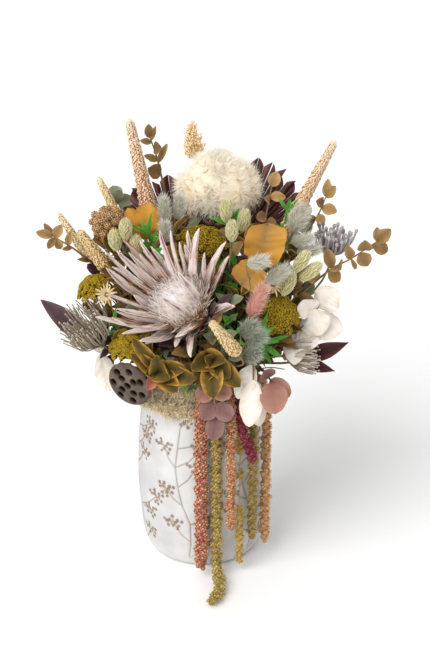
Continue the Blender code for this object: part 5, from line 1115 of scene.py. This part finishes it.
# The king protea: a cup of overlapping scales, long stiff folded bracts in dusty pink, and a woolly
# dome of pale curved styles. All of it is one dried head on one thick stem.
origin = np.array([-0.0027, -0.0620, 0.3252])
axes = axes_to((-0.40, -0.50, 0.75))
way = axes[2]
draw = np.random.default_rng(77)
BRACTS = [
    (-0.1130, -0.0850, 0.4082, 0.0140), (-0.1099, -0.0750, 0.4202, 0.0080), (-0.0966, -0.0800, 0.4239, 0.0110),
    (-0.0888, -0.0750, 0.4358, 0.0130), (-0.0670, -0.0700, 0.4347, 0.0090), (-0.0723, -0.0900, 0.4250, 0.0110),
    (-0.0479, -0.0750, 0.4358, 0.0110), (-0.0366, -0.0750, 0.4460, 0.0090), (-0.0158, -0.0780, 0.4440, 0.0100),
    (-0.0068, -0.0800, 0.4500, 0.0140), (0.0245, -0.0850, 0.4360, 0.0140), (0.0284, -0.0880, 0.4200, 0.0120),
    (-0.1128, -0.1150, 0.3690, 0.0140), (-0.1062, -0.1100, 0.3514, 0.0120), (-0.0706, -0.1250, 0.3400, 0.0120),
    (-0.0114, -0.1350, 0.3237, 0.0100), (0.0324, -0.0980, 0.3700, 0.0140), (0.0407, -0.1000, 0.3607, 0.0120),
    (-0.0640, -0.1020, 0.3200, 0.0150), (-0.0309, -0.1000, 0.3140, 0.0140),
    (-0.1010, -0.0880, 0.4130, 0.0080), (-0.0820, -0.0830, 0.4270, 0.0080), (-0.0570, -0.0810, 0.4300, 0.0080),
    (-0.0270, -0.0800, 0.4350, 0.0080), (0.0090, -0.0840, 0.4290, 0.0085), (-0.1050, -0.1010, 0.3850, 0.0090),
    (-0.0960, -0.1120, 0.3600, 0.0090), (-0.0880, -0.1180, 0.3420, 0.0090),
]
CROSSING = [
    ((0.0020, -0.0860, 0.3580), (-0.0257, -0.1270, 0.4195), 0.012),
    ((-0.0060, -0.0960, 0.3460), (-0.0440, -0.1420, 0.3965), 0.011),
    ((0.0060, -0.0800, 0.3470), (-0.0286, -0.1400, 0.3472), 0.012),
]
parts = [stalk("king_protea", origin, way, 0.0045, more=[origin + way * 0.006]) + (4,),
         tube(origin + way * np.array([0.0, 0.004, 0.012, 0.026, 0.038, 0.043])[:, None],
              [0.005, 0.010, 0.016, 0.0235, 0.0225, 0.012], 18) + (1,)]
MORE = []
for k, (x, y, z, wide) in enumerate(BRACTS):
    aside = BRACTS[(k * 5 + 3) % len(BRACTS)]
    if k % 3 < 2:
        mixed = np.array((x, y, z)) * 0.8 + np.array(aside[:3]) * 0.2
        MORE.append((*(origin + (mixed - origin) * draw.uniform(0.72, 0.95)), wide * 0.72))
for k, (x, y, z, wide) in enumerate(BRACTS + MORE):
    tip = np.array((x, y, z))
    out = tip - origin
    out = unit(out - way * out.dot(way))
    low = origin + way * (0.012 + 0.006 * (k % 2)) + out * 0.009
    tip = tip + draw.normal(size=3) * 0.0022
    parts.append(blade(low, tip, wide * draw.uniform(0.70, 0.96), way, k, arch=draw.uniform(-0.14, 0.05), cup=1.0, wave=0.07,
                       blunt=0.50, bias=1.05, rows=18, cols=8, thick=0.0012, curl=draw.uniform(-0.12, 0.06),
                       twist=draw.uniform(-1.3, 1.3), vein=0.00035, ragged=0.05) + (0,))
for k, (low, tip, wide) in enumerate(CROSSING):
    parts.append(blade(low, tip, wide * 0.86, (0.0, -1.0, 0.5), 90 + k, arch=0.05, cup=0.85, wave=0.03, blunt=0.5,
                       bias=0.9, rows=20, cols=8, thick=0.0012, twist=0.5) + (0,))
for row in range(3):
    for j in range(11):
        a = (j + 0.5 * (row % 2)) / 11.0 * math.tau
        out = axes[0] * math.cos(a) + axes[1] * math.sin(a)
        low = origin + way * (0.004 + 0.009 * row) + out * (0.009 + 0.005 * row)
        tip = low + unit(way * 0.9 + out) * (0.024 + 0.002 * row)
        parts.append(blade(low, tip, 0.0125, way, 200 + row * 20 + j, arch=-0.06, cup=0.4, rows=8, cols=5) + (2,))
centre = origin + way * 0.052
spread = ball_points(1100)
spread = spread[spread[:, 2] > -0.55]
count = len(spread)
dome = (spread * (0.0300, 0.0300, 0.0235)) @ axes + centre
outs = unit((spread / (0.0325, 0.0325, 0.0275)) @ axes)
inward = unit(way - outs * (outs @ way)[:, None])
low = np.clip(1.0 - (spread[:, 2] + 0.55) / 1.3, 0.0, 1.0)
lean = unit(outs * (0.42 + 0.4 * (1.0 - low))[:, None] + inward * (0.60 + 0.60 * low)[:, None] + draw.normal(size=(count, 3)) * 0.20)
styles = hairs(dome - outs * 0.002, lean, draw.uniform(0.80, 1.20, count) * (0.010 + 0.011 * low), draw.uniform(0.00045, 0.00085, count),
               inward * (0.004 * low)[:, None] - outs * (0.0035 * low)[:, None] + draw.normal(size=(count, 3)) * 0.0012, 3, 4, 1.0 - low)
t, a = np.meshgrid(np.linspace(0.02, math.pi * 0.72, 20), np.arange(36) / 36.0 * math.tau, indexing="ij")
flat = np.stack([np.sin(t) * np.cos(a), np.sin(t) * np.sin(a), np.cos(t)], -1).reshape(-1, 3)
core = (flat * (0.0290, 0.0290, 0.0225)) @ axes + centre
k = np.arange(36)
core_faces = np.concatenate([grid_faces(20, 36), np.stack([np.full(36, 720), (k + 1) % 36, k], 1),
                             np.stack([np.full(36, 721), 684 + k, 684 + (k + 1) % 36], 1)])
core_lie = np.stack([1.0 - np.append(t.ravel(), [0.0, 2.26]) / 2.26, np.full(722, 0.15), np.full(722, 0.3)], 1)
core = (np.vstack([core, core[:36].mean(0), core[-36:].mean(0)]), core_faces, core_lie)
BRACT = skin("protea_bract", [(0.42, (106, 58, 30)), (0.51, (168, 120, 92)), (0.58, (206, 184, 172)),
                              (0.69, (240, 231, 223)), (0.84, (218, 196, 190)), (0.97, (160, 90, 100))],
             weigh=(0.30, -0.27, 0.18), cloud=(80.0, 0.36), rough=0.75, bump=(800.0, 0.5), streak=(0.72, 2.6, 6.5))
CUP = skin("protea_cup", [(0.1, (110, 72, 50)), (0.9, (190, 142, 104))], cloud=(90.0, 0.5))
MAUVE_SCALE = skin("protea_scale", [(0.05, (104, 84, 80)), (0.5, (150, 130, 126)), (1.0, (196, 178, 170))],
                   weigh=(0.4, 0.1, 0.2), cloud=(80.0, 0.35))
WOOL = skin("protea_wool", [(0.20, (104, 66, 26)), (0.38, (172, 126, 66)), (0.47, (206, 190, 176)),
                            (0.62, (234, 226, 224)), (0.92, (252, 249, 249))], weigh=(0.36, 0.16, 0.42), cloud=(60.0, 0.22), rough=0.95)
piece("king_protea_head", parts + [core + (3,), styles + (3,)],
      [BRACT, CUP, MAUVE_SCALE, WOOL, TWIG], "king_protea")

# The lotus pod: a dried woody funnel. Its flat face holds a dozen round seats with a seed in each.
origin = np.array([-0.0615, -0.0445, 0.2665])
axes = axes_to((-0.50, -0.85, -0.15))
seats = [(0.0, 0.0)] + [(0.0110 * math.cos(k * math.tau / 4), 0.0110 * math.sin(k * math.tau / 4)) for k in range(4)]
seats += [(0.0200 * math.cos(k * math.tau / 7), 0.0200 * math.sin(k * math.tau / 7)) for k in range(7)]
profile = smooth_profile([(0.0040, 0.000), (0.0060, 0.010), (0.0110, 0.024), (0.0200, 0.036), (0.0268, 0.0415),
                          (0.0280, 0.0450), (0.0262, 0.0478), (0.0250, 0.0482)], 26)
face = np.stack([np.linspace(0.0246, 0.0006, 44), np.linspace(0.0484, 0.0495, 44)], 1)
profile = np.vstack([profile, face])
AROUND = 120
r, a = np.meshgrid(profile[:, 0], np.arange(AROUND) / AROUND * math.tau, indexing="ij")
z = np.repeat(profile[:, 1:], AROUND, axis=1)
ridge = 1.0 + 0.025 * np.sin(a * 16 + z * 60) * (z < 0.044)
x, y = r * ridge * np.cos(a), r * ridge * np.sin(a)
dark = np.zeros_like(x)
for sx, sy in seats:
    gap = np.hypot(x - sx, y - sy)
    on_face = (np.arange(len(profile)) >= 26)[:, None]
    dip = on_face / (1.0 + np.exp((gap - 0.0040) / 0.00022))
    rim = on_face * np.exp(-((gap - 0.0048) / 0.0005) ** 2)
    z = z - 0.0095 * dip + 0.0006 * rim
    dark = np.maximum(dark, dip)
grid = (np.stack([x, y, z], -1).reshape(-1, 3) @ axes) + origin
total = len(profile) * AROUND
k = np.arange(AROUND)
faces = np.concatenate([grid_faces(len(profile), AROUND), np.stack([np.full(AROUND, total), (k + 1) % AROUND, k], 1),
                        np.stack([np.full(AROUND, total + 1), total - AROUND + k, total - AROUND + (k + 1) % AROUND], 1)])
lie = np.stack([np.append(z.ravel() / 0.05, [0, 1]), np.append(dark.ravel(), [0, 1]), np.full(total + 2, 0.5)], 1)
pod = (np.vstack([grid, origin, grid[-AROUND:].mean(0)]), faces, lie)
seeds = np.array([(sx, sy, 0.0420) for sx, sy in seats]) @ axes + origin
# The wood is brown; the mask of the seat holes drives the colour down to near black inside them, which is painted shade
# in the holes.
POD_WOOD_AND_HOLE_SHADE = skin("lotus_pod_wood_hole_shade", [(0.0, (16, 12, 10)), (0.30, (66, 56, 48)), (0.62, (96, 83, 72)), (1.0, (142, 126, 110))],
           weigh=(0.25, -1.2, 0.1), cloud=(90.0, 0.7), rough=0.85, bump=(500.0, 0.5))
SEED = skin("lotus_seed", [(0.2, (30, 22, 18)), (0.9, (66, 50, 40))], cloud=(160.0, 0.8), rough=0.6)
piece("lotus_seed_pod", [stalk("lotus_pod", origin, (-0.50, -0.85, -0.15), 0.0022, more=[origin + axes[2] * 0.003]) + (2,),
                         pod + (0,), strew(bead(), seeds, np.repeat(axes[None], 12, 0), np.full(12, 0.0023), 0.2) + (1,)],
      [POD_WOOD_AND_HOLE_SHADE, SEED, TWIG], "lotus_pod")

# The moss: dried reindeer moss, a springy cushion of fine pale branches, tucked over the rim.
draw = np.random.default_rng(40)
tangle, dirs, cores = [], [], []
for k in range(16):
    turn = math.radians(-152 + 6.4 * (k % 10))
    reach = 0.067 + 0.008 * (k % 2) if k < 10 else 0.056
    spot = np.array([reach * math.cos(turn), reach * math.sin(turn), 0.238 - 0.017 * (k % 2) if k < 10 else 0.254])
    size = np.array([0.0175, 0.0175, 0.0145]) * draw.uniform(0.72, 1.12)
    ways = ball_points(88, k)
    ways = ways[(ways @ np.array([math.cos(turn), math.sin(turn), 0.4])) > -0.35]
    tangle.append(spot + ways * size * 0.72)
    dirs.append(ways)
    cores.append(spot)
tangle, dirs = np.concatenate(tangle), np.concatenate(dirs)
parts = []
for fork in range(4):
    count = len(tangle)
    ways = unit(dirs + draw.normal(size=(count, 3)) * 0.7)
    feet = tangle + draw.normal(size=(count, 3)) * 0.0012
    parts.append(hairs(feet, ways, draw.uniform(0.0035, 0.0075, count), draw.uniform(0.00045, 0.0008, count),
                       draw.normal(size=(count, 3)) * 0.0022, 2, fork) + (0,))
parts.append(strew(bead(), np.array(cores), frames_on(np.array(cores)), np.array([[0.0120, 0.0120, 0.0100]] * 16), 0.0, 0.0) + (0,))
MOSS = skin("reindeer_moss", [(0.05, (128, 104, 70)), (0.26, (200, 178, 140)), (0.50, (232, 216, 182)),
                              (0.95, (250, 242, 218))], weigh=(0.0, 0.60, 0.3), cloud=(120.0, 0.25), rough=0.95)
piece("reindeer_moss", parts, [MOSS], "moss_front")

# The filling: small sprigs of dried leaves and moss pushed between the flowers, each on its own
# stem in the foam. They hide the foam and the stems, and stay a little below the flowers.
MIDDLE = np.array([0.0050, -0.0080, 0.3150])
heads = []
for node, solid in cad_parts.items():
    if node in ("vase", "foam", "moss_front") or node.startswith("amaranth"):
        continue
    spots = np.empty(len(solid.data.vertices) * 3)
    solid.data.vertices.foreach_get("co", spots)
    spots = spots.reshape(-1, 3)
    away = np.linalg.norm(spots - MIDDLE, axis=1)
    heads.append(spots[away > 0.66 * away.max()])
heads = np.concatenate(heads) - MIDDLE
far = np.linalg.norm(heads, axis=1)
toward = heads / far[:, None]


def room(way):
    """How far from the middle a filling leaf may reach in one direction."""
    near = far[(toward @ way) > 0.965]
    limit = 1.0 / math.sqrt((way[0] / 0.125) ** 2 + (way[1] / 0.098) ** 2 + (way[2] / (0.125 if way[2] > 0 else 0.075)) ** 2)
    return min(limit, np.percentile(near, 35) - 0.008) if len(near) > 20 else limit * 0.62


GAPS = [(-0.102, -0.030, 0.400), (-0.088, -0.034, 0.410), (-0.112, -0.050, 0.316), (-0.120, -0.040, 0.330),
        (-0.095, -0.040, 0.385), (-0.085, -0.050, 0.360), (-0.102, -0.035, 0.345), (-0.115, -0.020, 0.362),
        (-0.075, -0.030, 0.392), (-0.105, -0.045, 0.325), (-0.088, -0.070, 0.325), (0.100, -0.040, 0.335),
        (0.115, -0.030, 0.350), (0.120, -0.040, 0.312), (0.105, -0.055, 0.292), (0.090, -0.065, 0.305),
        (0.085, -0.030, 0.372), (0.045, -0.050, 0.385), (0.030, -0.060, 0.365), (0.095, -0.065, 0.270),
        (-0.060, -0.080, 0.300), (-0.020, -0.085, 0.290), (0.030, -0.090, 0.300), (0.060, -0.080, 0.340)]
ends = [MIDDLE + way * room(way) * 0.86 for way in ball_points(300, 0.7) if way[2] > -0.42 and room(way) > 0.03]
ends = [ends[k] for k in np.random.default_rng(91).permutation(len(ends))]
ends = [np.array(spot) for spot in GAPS] + ends[:156]
for k in range(64):
    turn = k * 2.39996
    ends.append(np.array([math.cos(turn), math.sin(turn), 0.0]) * (0.060 + 0.012 * (k % 3)) + (0, 0, 0.258 + 0.013 * (k % 4)))
LATE = [(-0.112, -0.018, 0.400), (-0.102, -0.040, 0.369), (-0.100, -0.066, 0.326), (-0.104, -0.060, 0.300),
        (0.052, -0.060, 0.372), (0.062, -0.085, 0.318), (-0.096, -0.050, 0.385), (0.100, -0.020, 0.392)]
ends += [np.array(spot) for spot in LATE]
FILLINGS = {
    "olive": (0.030, 0.0140), "brown": (0.027, 0.0140), "green": (0.022, 0.0070), "grey": (0.026, 0.0150),
    "plum": (0.034, 0.0130),
}
CHOICE = ["olive", "brown", "green", "olive", "grey", "brown", "green", "olive", "brown", "plum"]
for number, (kind, (long, wide)) in enumerate(FILLINGS.items()):
    draw = np.random.default_rng(700 + number)
    parts = []
    for k, end in enumerate(ends):
        if CHOICE[(k * 7) % 10] != kind:
            continue
        flat = np.array([end[0], end[1]])
        foot = np.append(flat / max(np.linalg.norm(flat), 0.001) * min(0.050, np.linalg.norm(flat) * 0.6), FOAM_TOP - 0.006)
        line = through([foot, foot * 0.45 + end * 0.55 + np.array([0.0, 0.0, 0.010]), end], 8)
        parts.append(tube(line, np.linspace(0.0012, 0.0006, 9), 4) + (2,))
        low = end[2] < 0.30
        for leaf in range(7):
            share = (0.25 if low else 0.38) + (0.75 if low else 0.62) * leaf / 6.0
            i = min(int(share * 8), 7)
            spot = line[i] + (line[i + 1] - line[i]) * (share * 8 - i)
            along = unit(line[i + 1] - line[i])
            axes = axes_to(along)
            turn = leaf * 2.4 + draw.uniform(-0.4, 0.4)
            out = axes[0] * math.cos(turn) + axes[1] * math.sin(turn)
            tip = spot + unit(along * (0.9 if leaf < 6 else 3.0) + out) * long * draw.uniform(0.8, 1.15)
            if np.hypot(tip[0], tip[1]) > 0.088 and low and tip[1] < 0.0 or tip[2] < FOAM_TOP + 0.002:
                continue
            if len(GAPS) <= k < len(ends) - len(LATE) and not low and np.linalg.norm(tip - MIDDLE) > room(unit(tip - MIDDLE)) + 0.004:
                continue
            parts.append(blade(spot, tip, wide * draw.uniform(0.8, 1.15), along * 0.8 - out * 0.6, draw.integers(1e6),
                               rows=4, cols=4, cup=0.3, wave=0.06, blunt=0.60, twist=draw.uniform(-0.8, 0.8))
                         + (int(draw.random() < 0.4) if kind == "brown" else 0,))
    piece("filling_" + kind, parts, LEAF_SKINS[kind] + [TWIG])

draw = np.random.default_rng(95)
count = 1500
turn, reach = draw.uniform(0, math.tau, count), 0.0600 * np.sqrt(draw.uniform(0, 1, count))
feet = np.stack([reach * np.cos(turn), reach * np.sin(turn), np.full(count, FOAM_TOP + 0.001)], 1)
feet[:, 2] += 0.005 * np.sin(feet[:, 0] * 160) * np.cos(feet[:, 1] * 140) * (reach < 0.052) - np.clip(reach - 0.054, 0, 1) * 0.8
ways = unit(draw.normal(size=(count, 3)) * 0.8 + np.array([0, 0, 0.9]) + feet * (9, 9, 0))
carpet = hairs(feet, ways, draw.uniform(0.005, 0.011, count), 0.0008, draw.normal(size=(count, 3)) * 0.002, 2, 8)
BED = skin("moss_bed", [(0.05, (70, 58, 34)), (0.40, (112, 98, 60)), (0.75, (154, 140, 98)), (1.0, (190, 178, 136))],
           weigh=(0.0, 0.55, 0.35), cloud=(120.0, 0.3), rough=0.95)
piece("moss_bed", [carpet + (0,)], [BED])

# The papery leaf: one bleached leaf that hangs at the left below the springing head.
PAPER_FOOT = np.array([-0.0460, -0.0200, FOAM_TOP - 0.006])
PAPER_BASE, PAPER_TIP = np.array([-0.1180, -0.0560, 0.2860]), np.array([-0.1080, -0.0700, 0.2440])
piece("papery_leaf", [
    tube(through([PAPER_FOOT, (-0.0850, -0.0400, 0.2780), PAPER_BASE], 10), np.full(11, 0.0009), 5) + (2,),
    blade(PAPER_BASE, PAPER_TIP, 0.024, (0.0, -1.0, 0.5), 5, **LEAF_FORM["paper"]) + (0,),
    blade(PAPER_BASE, PAPER_BASE + (-0.006, -0.010, 0.030), 0.014, (0.0, -1.0, 0.5), 6, **LEAF_FORM["paper"]) + (0,),
], LEAF_SKINS["paper"] + [TWIG])

# Straw stars: two small dried daisies whose thin pale petals stand round a woolly button.
for number, (spot, way) in enumerate((((-0.1080, -0.0640, 0.3640), (-0.4, -0.8, 0.5)), ((0.0800, -0.0700, 0.3790), (0.2, -0.8, 0.6)))):
    spot = np.array(spot)
    axes = axes_to(way)
    foot = np.array([spot[0] * 0.4, spot[1] * 0.4, FOAM_TOP - 0.006])
    parts = [tube(through([foot, foot * 0.4 + spot * 0.6 + (0, 0, 0.01), spot], 10), np.full(11, 0.0008), 5) + (1,)]
    for k in range(15):
        turn = k * math.tau / 15.0
        out = axes[0] * math.cos(turn) + axes[1] * math.sin(turn)
        parts.append(blade(spot + out * 0.002, spot + out * (0.011 + 0.002 * (k % 3)) + axes[2] * 0.004, 0.0026, axes[2], k,
                           rows=5, cols=4, thick=0.0004) + (0,))
    parts.append(strew(husk(), spot + ball_points(40) @ axes * 0.0026, frames_on(ball_points(40) @ axes), np.full(40, 0.0008)) + (1,))
    STRAW = skin("straw_petal_%d" % number, [(0.1, (176, 148, 100)), (0.9, (220, 198, 152))], cloud=(90.0, 0.7))
    piece("straw_star_%d" % (number + 1), parts, [STRAW, TWIG])

# The table is a plain pale floor, lit softly from the left front, and the camera looks down a little.
floor = bpy.data.meshes.new("floor")
floor.from_pydata([(-6, -6, 0), (6, -6, 0), (6, 6, 0), (-6, 6, 0)], [], [(0, 1, 2, 3)])
floor = bpy.data.objects.new("floor", floor)
bpy.context.scene.collection.objects.link(floor)
PALE = bpy.data.materials.new("pale_floor")
PALE.use_nodes = True
PALE.node_tree.nodes["Principled BSDF"].inputs["Base Color"].default_value = rgb(252, 252, 252)
PALE.node_tree.nodes["Principled BSDF"].inputs["Roughness"].default_value = 0.9
floor.data.materials.append(PALE)

world = bpy.data.worlds.new("studio")
world.use_nodes = True
world.node_tree.nodes["Background"].inputs["Color"].default_value = (1.0, 1.0, 1.0, 1.0)
world.node_tree.nodes["Background"].inputs["Strength"].default_value = 0.64
bpy.context.scene.world = world
lamp = bpy.data.lights.new("window", "SUN")
lamp.energy, lamp.angle = 2.3, 0.8
light = bpy.data.objects.new("window", lamp)
light.rotation_euler = (math.radians(42.0), math.radians(-24.0), math.radians(-14.0))
bpy.context.scene.collection.objects.link(light)

lens = bpy.data.cameras.new("camera")
lens.sensor_fit = "VERTICAL"
lens.sensor_height = 36.0
lens.lens = 89.19
camera = bpy.data.objects.new("camera", lens)
camera.location = (0.0145, -1.7220, 1.1025)
camera.rotation_euler = (math.radians(65.0), 0.0, 0.0)
bpy.context.scene.collection.objects.link(camera)
bpy.context.scene.camera = camera
bpy.context.scene.view_settings.view_transform = "Standard"
